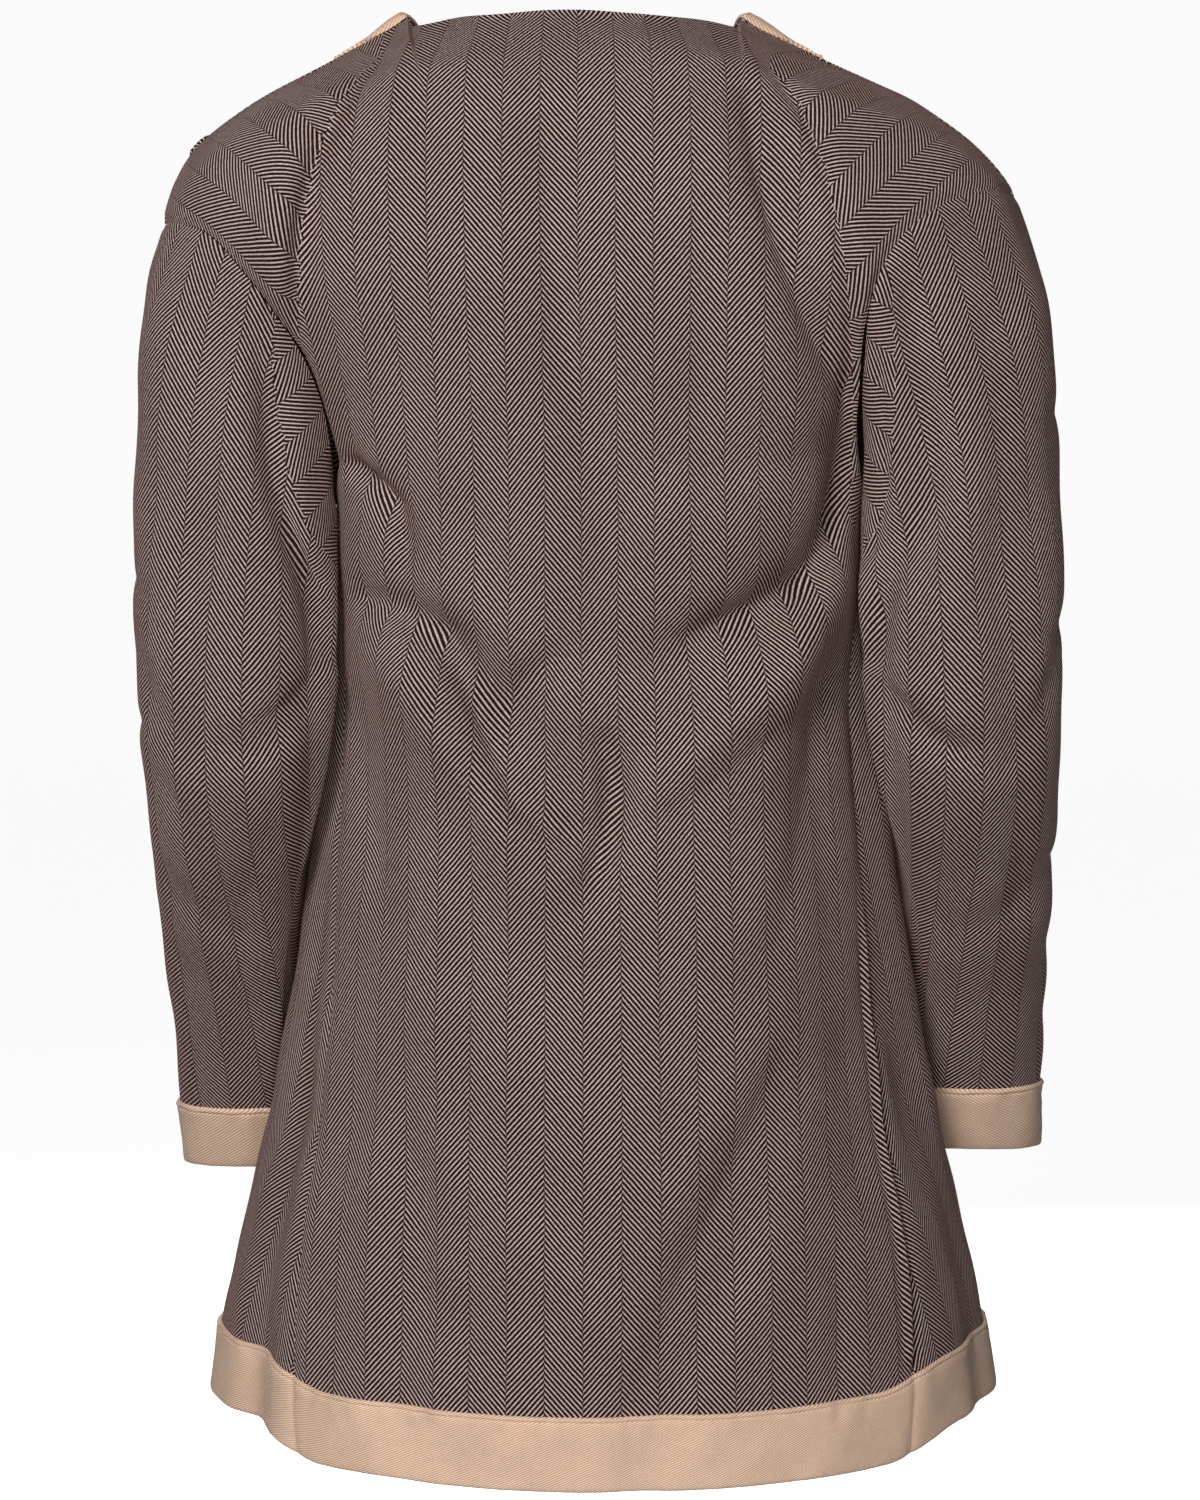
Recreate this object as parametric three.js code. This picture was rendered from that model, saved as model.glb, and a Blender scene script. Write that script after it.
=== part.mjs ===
// A short wool kaftan, worn shape, hollow and open at neck, hem, cuffs and front.
// Millimetres. +X is the wearer's left, +Y is the back, -Y the front, +Z is up.
// The origin is at the nape, between the shoulders, where the wearer carries it.
import * as THREE from 'three';

// Driving dimensions
const wall = 2.0; // thickness of the cloth
const seamGap = 0.3; // between neighbouring pieces
const bandThickness = 1.8; // linen band, folded
const backLength = 850; // nape to hem, down the side
const neckHalfWidth = 99;
const neckDrop = 6; // the neck corner lies this far below the nape
const collarRise = 20; // the front edges roll up this far beside the neck
const neckPoint = -215; // height where the front edges meet
const underarm = -282;
const hemBandWidth = 44;
const frontBandWidth = 42;
const frontEdgeX = 1.2; // half of the slit between the two fronts
const hem = -backLength;
const hemSag = 12; // the hem hangs lower at the centre than at the sides
const armClear = 2; // the sleeves lie this far from the torso, pressed flat against it
const cuffClear = 3; // and this much further at the cuffs, whose bands stand out

// Torso sections, from the nape down: half width, where the side lies, the back, the
// front, how square the section is, and how far the garment leans to the wearer's left.
const torso = [
  { z: 0, half: 99, side: 0, back: 52, front: -8, square: 2.1, lean: 15 },
  { z: -8, half: 111, side: 0, back: 65, front: -22, square: 2.2, lean: 15 },
  { z: -27, half: 151, side: 0, back: 82, front: -46, square: 2.3, lean: 12 },
  { z: -51, half: 199, side: 0, back: 97, front: -68, square: 2.4, lean: 9 },
  { z: -76, half: 232, side: 0, back: 107, front: -84, square: 2.4, lean: 7 },
  { z: -100, half: 250, side: 0, back: 114, front: -95, square: 2.4, lean: 5 },
  { z: -127, half: 257, side: 0, back: 119, front: -103, square: 2.4, lean: 3 },
  { z: -155, half: 245, side: 0, back: 122, front: -110, square: 2.4, lean: 3 },
  { z: -191, half: 203, side: 0, back: 122, front: -116, square: 2.4, lean: 2 },
  { z: -230, half: 174, side: 0, back: 119, front: -120, square: 2.4, lean: 1 },
  { z: -282, half: 158, side: 0, back: 114, front: -123, square: 2.4, lean: 0 },
  { z: -340, half: 159, side: -2, back: 108, front: -124, square: 2.4, lean: 0 },
  { z: -400, half: 166, side: -8, back: 103, front: -126, square: 2.3, lean: 0 },
  { z: -470, half: 175, side: -18, back: 101, front: -132, square: 2.2, lean: -1 },
  { z: -550, half: 186, side: -32, back: 104, front: -145, square: 2.1, lean: -2 },
  { z: -640, half: 203, side: -48, back: 109, front: -168, square: 2.0, lean: -2 },
  { z: -726, half: 223, side: -63, back: 113, front: -195, square: 2.0, lean: -2 },
  { z: -806, half: 242, side: -77, back: 117, front: -228, square: 2.0, lean: -2 },
  { z: -850, half: 249, side: -85, back: 119, front: -250, square: 2.0, lean: -2 },
];

// Dropped-shoulder seam from the shoulder to the underarm, and the height it reaches.
const armholes = {
  left: [
    { x: 257, z: -122 },
    { x: 247, z: -122 },
    { x: 223, z: -131 },
    { x: 192, z: -165 },
    { x: 168, z: -206 },
    { x: 157, z: -250 },
    { x: 157, z: underarm },
  ],
  right: [
    { x: 252, z: -108 },
    { x: 238, z: -106 },
    { x: 211, z: -111 },
    { x: 176, z: -133 },
    { x: 156, z: -175 },
    { x: 153, z: -232 },
    { x: 157, z: underarm },
  ],
};

// Angle of the gore seams round the section, from the side, at underarm and hem.
const goreSeam = { top: 7, bottom: 42 };
const goreHemWidth = 276;

// Sleeve sections from the shoulder to the wrist. Slant raises the outer side,
// tilt lowers the back of the section.
const sleeve = [
  { z: -240, slant: 66, tilt: 8, x: 210, y: 26, across: 58, deep: 64 },
  { z: -315, slant: 34, tilt: 2, x: 210, y: 24, across: 65, deep: 63 },
  { z: -385, slant: 8, tilt: 2, x: 213, y: 28, across: 64, deep: 61 },
  { z: -455, slant: 0, tilt: 4, x: 216, y: 12, across: 59, deep: 55 },
  { z: -530, slant: 0, tilt: 6, x: 224, y: -36, across: 52, deep: 47 },
  { z: -612, slant: 0, tilt: 4, x: 229, y: -92, across: 48, deep: 40 },
  { z: -714, slant: 0, tilt: -4, x: 234, y: -143, across: 44, deep: 33 },
];
const sleeveDrop = { left: 8, right: -3 }; // how much lower each wrist hangs
const sleeveLean = [
  { z: -100, lean: 3 },
  { z: -300, lean: 2 },
  { z: -450, lean: -1 },
  { z: -600, lean: -5 },
  { z: -700, lean: -8 },
];

// Folds of the back: each is a trough (or, with a negative depth, a ridge) along a
// curve from start through middle to end, in x and z.
const backFolds = [
  { x0: 140, z0: -36, x1: 171, z1: -130, x2: 168, z2: -262, width: 15, depth: 9 },
  { x0: 186, z0: -45, x1: 182, z1: -130, x2: 172, z2: -200, width: 20, depth: -5 },
  { x0: -100, z0: -60, x1: -124, z1: -150, x2: -152, z2: -262, width: 16, depth: 8 },
  { x0: 152, z0: -270, x1: 125, z1: -268, x2: 112, z2: -312, width: 13, depth: 7 },
  { x0: 150, z0: -338, x1: 78, z1: -338, x2: 18, z2: -470, width: 17, depth: 11 },
  { x0: 150, z0: -385, x1: 95, z1: -400, x2: 40, z2: -500, width: 26, depth: -7 },
  { x0: -152, z0: -262, x1: -130, z1: -352, x2: -44, z2: -368, width: 18, depth: 13 },
  { x0: -150, z0: -322, x1: -110, z1: -425, x2: -40, z2: -450, width: 24, depth: -8 },
  { x0: -4, z0: -425, x1: -14, z1: -470, x2: 8, z2: -515, width: 13, depth: 7 },
  { x0: 52, z0: -400, x1: 32, z1: -380, x2: 18, z2: -372, width: 13, depth: 4 },
  { x0: 26, z0: -80, x1: 28, z1: -210, x2: -8, z2: -318, width: 20, depth: 5 },
  { x0: -110, z0: -625, x1: -70, z1: -730, x2: -22, z2: -845, width: 18, depth: 6 },
  { x0: 108, z0: -640, x1: 122, z1: -740, x2: 118, z2: -845, width: 18, depth: 5 },
];

// Folds of the fronts, the same way, for the wearer's left; the right mirrors them.
const frontFolds = [
  { x0: 132, z0: -60, x1: 140, z1: -160, x2: 150, z2: -262, width: 15, depth: 7 },
  { x0: 150, z0: -310, x1: 110, z1: -360, x2: 70, z2: -470, width: 26, depth: 7 },
  { x0: 120, z0: -600, x1: 105, z1: -720, x2: 100, z2: -845, width: 24, depth: 6 },
];

// Folds of a sleeve: places round it (0 outer, 0.25 back, 0.5 inner) and along it.
const sleeveFolds = [
  { a0: 0.30, v0: 0.06, a1: 0.34, v1: 0.22, a2: 0.42, v2: 0.38, width: 12, depth: 7 },
  { a0: 0.18, v0: 0.10, a1: 0.19, v1: 0.30, a2: 0.17, v2: 0.52, width: 13, depth: 6 },
  { a0: 0.36, v0: 0.46, a1: 0.30, v1: 0.52, a2: 0.24, v2: 0.51, width: 11, depth: 5 },
  { a0: 0.02, v0: 0.40, a1: 0.08, v1: 0.44, a2: 0.14, v2: 0.50, width: 11, depth: 4 },
  { a0: 0.55, v0: 0.50, a1: 0.65, v1: 0.46, a2: 0.78, v2: 0.49, width: 13, depth: 6 },
  { a0: 0.52, v0: 0.58, a1: 0.62, v1: 0.60, a2: 0.74, v2: 0.56, width: 12, depth: 5 },
  { a0: 0.10, v0: 0.68, a1: 0.18, v1: 0.72, a2: 0.28, v2: 0.74, width: 12, depth: 4 },
];
const sleeveGirth = 330;
const sleeveLength = 560;

// Flutes of a gore: place across it (0 at the back seam, 1 at the front one), the share
// of its length where the flute starts, and its width and depth.
const goreFlutes = {
  left: [
    { across: 0.17, from: 0.3, width: 20, depth: 11 },
    { across: 0.6, from: 0.45, width: 24, depth: 7 },
  ],
  right: [
    { across: 0.3, from: 0.45, width: 20, depth: 6 },
    { across: 0.72, from: 0.4, width: 24, depth: 8 },
  ],
};

// Cloth and linen
const wool = { color: 0x736360, roughness: 0.92, metalness: 0 };
const linen = { color: 0xd8b9a2, roughness: 0.88, metalness: 0 };

// How many cells each piece has across and down
const cells = {
  back: [32, 30],
  front: [10, 30],
  gore: [8, 16],
  sleeve: [24, 18],
  frontBand: [2, 29],
};

// Smooth value of one column of a table at height z
const onTable = (table, column, z) => {
  const last = table.length - 1;
  if (z >= table[0].z) return table[0][column];
  if (z <= table[last].z) return table[last][column];
  let i = 0;
  while (table[i + 1].z > z) i += 1;
  const [a, b] = [table[i], table[i + 1]];
  const [before, after] = [table[Math.max(i - 1, 0)], table[Math.min(i + 2, last)]];
  const span = b.z - a.z;
  const t = (z - a.z) / span;
  const slopeA = ((b[column] - before[column]) / (b.z - before.z)) * span;
  const slopeB = ((after[column] - a[column]) / (after.z - a.z)) * span;
  return hermite(a[column], b[column], slopeA, slopeB, t);
};

const hermite = (a, b, slopeA, slopeB, t) => {
  const t2 = t * t;
  const t3 = t2 * t;
  return a * (2 * t3 - 3 * t2 + 1) + slopeA * (t3 - 2 * t2 + t)
    + b * (3 * t2 - 2 * t3) + slopeB * (t3 - t2);
};

// Smooth vector at place t (0 to 1) of an evenly spaced list of vectors
const onList = (list, t) => {
  const last = list.length - 1;
  const place = THREE.MathUtils.clamp(t, 0, 1) * last;
  const i = Math.min(Math.floor(place), last - 1);
  const f = place - i;
  const [a, b] = [list[i], list[i + 1]];
  const slopeA = b.clone().sub(list[Math.max(i - 1, 0)]).multiplyScalar(i > 0 ? 0.5 : 1);
  const slopeB = list[Math.min(i + 2, last)].clone().sub(a)
    .multiplyScalar(i < last - 1 ? 0.5 : 1);
  const at = (axis) => hermite(a[axis], b[axis], slopeA[axis], slopeB[axis], f);
  return new THREE.Vector3(at('x'), at('y'), at('z'));
};

const smooth = (from, to, value) => (
  THREE.MathUtils.smoothstep((value - from) / (to - from), 0, 1)
);

// Point of a fold's curve at share t of it
const curveAt = (fold, t) => {
  const s = 1 - t;
  return {
    x: s * s * fold.x0 + 2 * s * t * fold.x1 + t * t * fold.x2,
    z: s * s * fold.z0 + 2 * s * t * fold.z1 + t * t * fold.z2,
  };
};

// Depth of all the folds in a table at a place: a soft trough round each curve
const foldDepth = (folds, x, z) => {
  const steps = 14;
  let sum = 0;
  for (const fold of folds) {
    let near = Infinity;
    let taper = 0;
    for (let k = 0; k <= steps; k += 1) {
      const t = k / steps;
      const point = curveAt(fold, t);
      const next = curveAt(fold, Math.min(t + 1 / steps, 1));
      const [dx, dz] = [next.x - point.x, next.z - point.z];
      const length = dx * dx + dz * dz + 1e-9;
      const along = ((x - point.x) * dx + (z - point.z) * dz) / length;
      const share = THREE.MathUtils.clamp(along, 0, 1);
      const far = Math.hypot(point.x + share * dx - x, point.z + share * dz - z);
      if (far < near) {
        near = far;
        taper = 0.35 + 0.65 * Math.sin(Math.PI * (0.12 + 0.76 * (t + share / steps)));
      }
    }
    sum += fold.depth * taper * Math.exp(-((near / fold.width) ** 2));
  }
  return sum;
};

// How far the cloth at z hangs below its level place, at a share of the half width
const sagAt = (ratio, z) => hemSag * smooth(-450, hem, z) * smooth(0.88, 0.68, ratio);

// The torso's surface at x (from its own centre) and height z, on the back or front
const torsoPoint = (x, z, facing) => {
  const half = onTable(torso, 'half', z);
  const square = onTable(torso, 'square', z);
  const side = onTable(torso, 'side', z);
  const reach = onTable(torso, facing > 0 ? 'back' : 'front', z) - side;
  const ratio = Math.min(Math.abs(x) / half, 1);
  const y = side + reach * (1 - ratio ** square) ** (1 / square);
  return new THREE.Vector3(x + onTable(torso, 'lean', z), y, z - sagAt(ratio, z));
};

// Half width of the torso at depth y and height z
const torsoReach = (y, z) => {
  const side = onTable(torso, 'side', z);
  const square = onTable(torso, 'square', z);
  const reach = onTable(torso, y > side ? 'back' : 'front', z) - side;
  const ratio = Math.min(Math.abs((y - side) / reach), 1);
  return onTable(torso, 'half', z) * (1 - ratio ** square) ** (1 / square);
};

// The torso's section at an angle: 90 the spine, 0 the side, -90 the centre front
const torsoRing = (sign, degrees, z) => {
  const angle = THREE.MathUtils.degToRad(degrees);
  const power = 2 / onTable(torso, 'square', z);
  const side = onTable(torso, 'side', z);
  const reach = onTable(torso, degrees > 0 ? 'back' : 'front', z) - side;
  const ratio = Math.cos(angle) ** power;
  const x = sign * onTable(torso, 'half', z) * ratio;
  const y = side + reach * Math.abs(Math.sin(angle)) ** power;
  return new THREE.Vector3(x + onTable(torso, 'lean', z), y, z - sagAt(ratio, z));
};

const seamAngle = (z) => THREE.MathUtils.mapLinear(z, underarm, hem, goreSeam.top, goreSeam.bottom);

const seamX = (z) => {
  const power = 2 / onTable(torso, 'square', z);
  const angle = THREE.MathUtils.degToRad(seamAngle(z));
  return onTable(torso, 'half', z) * Math.cos(angle) ** power;
};

// Shoulder line: height of the ridge where the back meets the front
const ridgeHeight = (x) => {
  let z = 0;
  while (onTable(torso, 'half', z) < x && z > -125) z -= 0.5;
  return z;
};

const armholePoint = (sign, t) => {
  const table = sign > 0 ? armholes.left : armholes.right;
  const list = table.map((row) => new THREE.Vector3(row.x, 0, row.z));
  return onList(list, t);
};

// Share of a panel's rows that lie above the underarm, that round over the shoulder,
// and in which the front stands up beside the neck; share of the back's width at the neck
const yoke = 0.4;
const shoulderRound = 0.07;
const collarRun = 0.13;
const lowerRows = Math.round(cells.back[1] * (1 - yoke));
// Rows lie closer at the waist than at the hem, whose last row the band covers
const fallPower = Math.log(1 - hemBandWidth / (underarm - hem)) / Math.log(1 - 1 / lowerRows);
const neckShare = 0.4;
const neckSlope = 1.1; // a band's level width is greater where it slants
const neckEnd = 0.8; // share of a front's yoke rows at which the open neck ends
const neckCurve = 0.9;
// Rows above the underarm lie closer at the shoulder than at the underarm
const backCrowding = 1.25;
const frontCrowding = 1.5;
const flutePull = 0.8; // a gore's flutes go less far sideways than back
const bandColumns = cells.frontBand[0] / cells.front[0];

// Height of a row below the underarm
const rowHeight = (v) => underarm + (hem - underarm) * ((v - yoke) / (1 - yoke)) ** fallPower;

// Place in x and z of a panel's row v at share u from its inner edge to its outer one.
// The inner edge is the spine on the back, and the neckline then the slit on a front.
const panelPlace = (sign, u, v, isBack) => {
  const corner = armholePoint(sign, 0);
  const inner = (share) => {
    if (isBack) return { x: 0, z: 0 };
    const closed = Math.min(share / neckEnd, 1);
    const x = frontEdgeX + (neckHalfWidth - frontEdgeX) * (1 - closed) ** neckCurve;
    return { x, z: THREE.MathUtils.lerp(-neckDrop, neckPoint, closed) };
  };
  if (v > yoke) {
    const z = rowHeight(v);
    const from = isBack ? 0 : frontEdgeX;
    return { x: THREE.MathUtils.lerp(from, seamX(z), u), z };
  }
  const t = v / yoke;
  const down = t ** (isBack ? backCrowding : frontCrowding);
  const edge = armholePoint(sign, t);
  if (isBack) {
    const topX = u < neckShare
      ? (u / neckShare) * neckHalfWidth
      : THREE.MathUtils.mapLinear(u, neckShare, 1, neckHalfWidth, corner.x);
    const topZ = u < neckShare
      ? -neckDrop * (u / neckShare) ** 2
      : Math.max(ridgeHeight(topX), corner.z);
    const bottomX = u * seamX(underarm);
    const pull = u ** 4;
    return {
      x: THREE.MathUtils.lerp(topX, bottomX, down)
        + pull * (edge.x - THREE.MathUtils.lerp(corner.x, seamX(underarm), down)),
      z: THREE.MathUtils.lerp(topZ, underarm, down)
        + pull * (edge.z - THREE.MathUtils.lerp(corner.z, underarm, down)),
    };
  }
  const start = inner(down);
  const topX = THREE.MathUtils.lerp(neckHalfWidth, corner.x, u);
  const topZ = Math.max(ridgeHeight(topX), corner.z);
  const edgeTop = inner(0);
  const bow = (1 - t) ** 2;
  const innerZ = THREE.MathUtils.lerp(start.z, underarm, smooth(neckEnd, 1, down));
  return {
    x: THREE.MathUtils.lerp(start.x, edge.x, u)
      + bow * (topX - THREE.MathUtils.lerp(edgeTop.x, corner.x, u)),
    z: THREE.MathUtils.lerp(innerZ, edge.z, u)
      + bow * (topZ - THREE.MathUtils.lerp(edgeTop.z, corner.z, u)),
  };
};

// Folds fade out at the shoulder line and at the gore seam
const foldShare = (u, v) => {
  const nearSeam = smooth(0.88, 1, u) * smooth(yoke - 0.12, yoke - 0.02, v);
  return smooth(0, 0.05, v) * (1 - nearSeam);
};

// How far a panel's rows have rounded over from the shoulder line: 0 on it, 1 below
const roundOver = (v) => Math.sin((Math.PI / 2) * Math.min(v / shoulderRound, 1));

const backPoint = (across, v) => {
  const sign = across < 0 ? -1 : 1;
  const u = Math.min(Math.abs(across), 1);
  const place = panelPlace(sign, u, v, true);
  const point = torsoPoint(sign * place.x, place.z, 1);
  const neck = Math.max(1 - (u / neckShare) ** 2, 0);
  point.y = THREE.MathUtils.lerp(neck * torso[0].back, point.y, roundOver(v));
  point.y -= foldDepth(backFolds, sign * place.x, place.z) * foldShare(u, v);
  return point;
};

// Share of a front's width under its band, and the front's columns set out to match it
const bandShare = (sign, v) => {
  const inner = panelPlace(sign, 0, v, false);
  const outer = panelPlace(sign, 1, v, false);
  const slope = v < yoke ? neckSlope : 1;
  return Math.min((frontBandWidth * slope) / (outer.x - inner.x), 0.5);
};

const frontPoint = (sign, column, v) => {
  const share = bandShare(sign, v);
  const u = column < bandColumns
    ? (share * column) / bandColumns
    : THREE.MathUtils.mapLinear(column, bandColumns, 1, share, 1);
  const place = panelPlace(sign, u, v, false);
  const point = torsoPoint(sign * place.x, place.z, -1);
  const fromNeck = place.x - panelPlace(sign, 0, v, false).x;
  const roll = smooth(-6, 9, fromNeck) * (1 - smooth(9, frontBandWidth * 1.1, fromNeck));
  point.y *= roundOver(v);
  point.z += collarRise * roll * Math.sin(Math.PI * Math.min(v / collarRun, 1));
  point.y += foldDepth(frontFolds, place.x, place.z) * foldShare(u, v);
  return point;
};

const gorePoint = (sign, u, v) => {
  const z = THREE.MathUtils.lerp(underarm, hem, v);
  const angle = THREE.MathUtils.lerp(seamAngle(z), -seamAngle(z), u);
  const point = torsoRing(sign, angle, z);
  let depth = 0;
  for (const flute of sign > 0 ? goreFlutes.left : goreFlutes.right) {
    const far = (u - flute.across) * goreHemWidth;
    depth += flute.depth * smooth(flute.from, 1, v) * Math.exp(-((far / flute.width) ** 2));
  }
  depth *= smooth(0, 0.1, u) * smooth(1, 0.9, u);
  point.x -= sign * depth * flutePull;
  point.y -= depth * Math.sin(THREE.MathUtils.degToRad(angle));
  return point;
};

// The armhole's loop, round from the shoulder by the back, underarm and front
const armholeLoop = (sign, a) => {
  const isBack = a <= 0.5;
  const t = isBack ? a * 2 : 2 - a * 2;
  return isBack ? backPoint(sign, t * yoke) : frontPoint(sign, 1, t * yoke);
};

const sleeveSection = (sign, row, a) => {
  const angle = 2 * Math.PI * a;
  const z = row.z + row.slant * Math.cos(angle) - row.tilt * Math.sin(angle);
  const lean = onTable(sleeveLean, 'lean', row.z);
  const x = sign * (row.x + row.across * Math.cos(angle)) + lean;
  const last = sleeve[sleeve.length - 1].z;
  const share = (row.z - sleeve[0].z) / (last - sleeve[0].z);
  const drop = (sign > 0 ? sleeveDrop.left : sleeveDrop.right) * share ** 2;
  return new THREE.Vector3(x, row.y + row.deep * Math.sin(angle), z - drop);
};

// Away from the armhole the sleeve's inner side lies along the torso's own side
const pressed = (sign, point, v) => {
  const lean = onTable(torso, 'lean', point.z);
  const limit = torsoReach(point.y, point.z) + armClear + cuffClear * smooth(-635, -665, point.z);
  const over = sign * (point.x - lean) - limit;
  const clear = limit + (over + Math.hypot(over, 3)) / 2;
  const share = smooth(underarm + 112, underarm + 92, point.z) * smooth(0, 0.025, v);
  point.x = THREE.MathUtils.lerp(point.x, sign * clear + lean, share);
  return point;
};

const sleeveForm = (sign, a, v) => {
  const round = ((a % 1) + 1) % 1;
  const stations = [armholeLoop(sign, round)];
  for (const row of sleeve) stations.push(sleeveSection(sign, row, round));
  return pressed(sign, onList(stations, v), v);
};

const sleevePoint = (sign, a, v) => {
  const round = ((a % 1) + 1) % 1;
  const folds = sleeveFolds.map((fold) => ({
    x0: fold.a0 * sleeveGirth,
    z0: fold.v0 * sleeveLength,
    x1: fold.a1 * sleeveGirth,
    z1: fold.v1 * sleeveLength,
    x2: fold.a2 * sleeveGirth,
    z2: fold.v2 * sleeveLength,
    width: fold.width,
    depth: fold.depth,
  }));
  const depth = foldDepth(folds, round * sleeveGirth, v * sleeveLength);
  const centre = new THREE.Vector3();
  for (const quarter of [0, 0.25, 0.5, 0.75]) centre.add(sleeveForm(sign, quarter, v));
  centre.multiplyScalar(0.25);
  const point = sleeveForm(sign, round, v);
  const inward = centre.sub(point).normalize();
  return point.addScaledVector(inward, depth * smooth(0.02, 0.1, v));
};

// Unit normal of a surface at u, v
const normalAt = (surface, u, v) => {
  const step = 0.004;
  const du = surface(u + step, v).sub(surface(u - step, v));
  const low = Math.max(v - step, 0);
  const high = Math.min(v + step, 1);
  const dv = surface(u, high).sub(surface(u, low));
  return du.cross(dv).normalize();
};

// A wall from a surface: its face `out` from the surface and `thick` deep, closed at its
// rims. `upright` says how far its first rim is cut square to the shoulder line.
const wallSolid = (surface, across, down, form) => {
  const { span, rise, out = 0, thick, outward, tube = false, upright } = form;
  const rows = down + 1;
  const columns = tube ? across : across + 1;
  const faces = [[], []];
  const cloth = [];
  for (let i = 0; i < rows; i += 1) {
    for (let j = 0; j < columns; j += 1) {
      const u = THREE.MathUtils.lerp(span[0], span[1], j / across);
      const v = THREE.MathUtils.lerp(rise[0], rise[1], i / down);
      const point = surface(u, v);
      const normal = normalAt(surface, u, v).multiplyScalar(outward);
      if (upright && i === 0) normal.setY(normal.y * (1 - upright(u))).normalize();
      cloth.push(point);
      faces[0].push(point.clone().addScaledVector(normal, out));
      faces[1].push(point.clone().addScaledVector(normal, out - thick));
    }
  }
  const points = [...faces[0], ...faces[1]];
  const inner = faces[0].length;
  const index = [];
  const quad = (a, b, c, d) => index.push(a, b, c, a, c, d);
  const at = (i, j) => i * columns + (tube ? j % columns : j);
  const slant = (a, b, c) => cloth[b].clone().sub(cloth[a])
    .cross(cloth[c].clone().sub(cloth[a])).normalize();
  for (let i = 0; i < down; i += 1) {
    for (let j = 0; j < across; j += 1) {
      let [a, b, c, d] = [at(i, j), at(i + 1, j), at(i + 1, j + 1), at(i, j + 1)];
      const bendOne = slant(a, b, c).dot(slant(a, c, d));
      const bendTwo = slant(b, c, d).dot(slant(b, d, a));
      if (bendTwo > bendOne) [a, b, c, d] = [b, c, d, a];
      quad(a, b, c, d);
      quad(inner + a, inner + d, inner + c, inner + b);
    }
  }
  for (let j = 0; j < across; j += 1) {
    quad(at(0, j), at(0, j + 1), inner + at(0, j + 1), inner + at(0, j));
    quad(at(down, j + 1), at(down, j), inner + at(down, j), inner + at(down, j + 1));
  }
  for (let i = 0; i < down && !tube; i += 1) {
    quad(at(i + 1, 0), at(i, 0), inner + at(i, 0), inner + at(i + 1, 0));
    quad(at(i, across), at(i + 1, across), inner + at(i + 1, across), inner + at(i, across));
  }
  const volume = (order) => {
    let sum = 0;
    for (let k = 0; k < order.length; k += 3) {
      const [a, b, c] = [points[order[k]], points[order[k + 1]], points[order[k + 2]]];
      sum += a.dot(b.clone().cross(c));
    }
    return sum;
  };
  const facing = volume(index) > 0 ? index : index.reverse();
  const geometry = new THREE.BufferGeometry();
  const places = new THREE.Float32BufferAttribute(points.flatMap((p) => [p.x, p.y, p.z]), 3);
  geometry.setAttribute('position', places);
  geometry.setIndex(facing);
  geometry.computeVertexNormals();
  return geometry;
};

const group = new THREE.Group();
const add = (name, geometry, cloth) => {
  const mesh = new THREE.Mesh(geometry, new THREE.MeshStandardMaterial(cloth));
  mesh.name = name;
  group.add(mesh);
};

const seamTrim = seamGap / 150; // share of a panel's width left free at a seam
const bandClear = 0.4; // between a band and the cloth under it
const bandOut = bandClear + bandThickness; // a band's face above the cloth

add('back_panel', wallSolid(backPoint, ...cells.back, {
  span: [-1 + seamTrim, 1 - seamTrim],
  rise: [0, 1],
  thick: wall,
  outward: 1,
  upright: (u) => smooth(neckShare - 0.05, neckShare, Math.abs(u)),
}), wool);

// The hem all round, from the left front edge by the back to the right front edge
const hemLoop = (w, v) => {
  const [front, gore, back] = [cells.front[0], cells.gore[0], cells.back[0]];
  const total = 2 * front + 2 * gore + back;
  const place = THREE.MathUtils.clamp(w, 0, 1) * total;
  const half = Math.min(place, total - place);
  const sign = place < total / 2 ? 1 : -1;
  const goreRise = (rowHeight(v) - underarm) / (hem - underarm);
  if (half < front) return frontPoint(sign, half / front, v);
  if (half < front + gore) return gorePoint(sign, 1 - (half - front) / gore, goreRise);
  return backPoint(sign * (1 - (half - front - gore) / (back / 2)), v);
};

const hemRise = 1 - (1 - yoke) / lowerRows;
const hemColumns = 2 * cells.front[0] + 2 * cells.gore[0] + cells.back[0];
add('hem_band', wallSolid(hemLoop, hemColumns, 1, {
  span: [0, 1], rise: [hemRise, 1], out: bandOut, thick: bandThickness, outward: -1,
}), linen);

const cuffRise = 1 - 1 / cells.sleeve[1]; // the cuff band covers the last row

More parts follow.
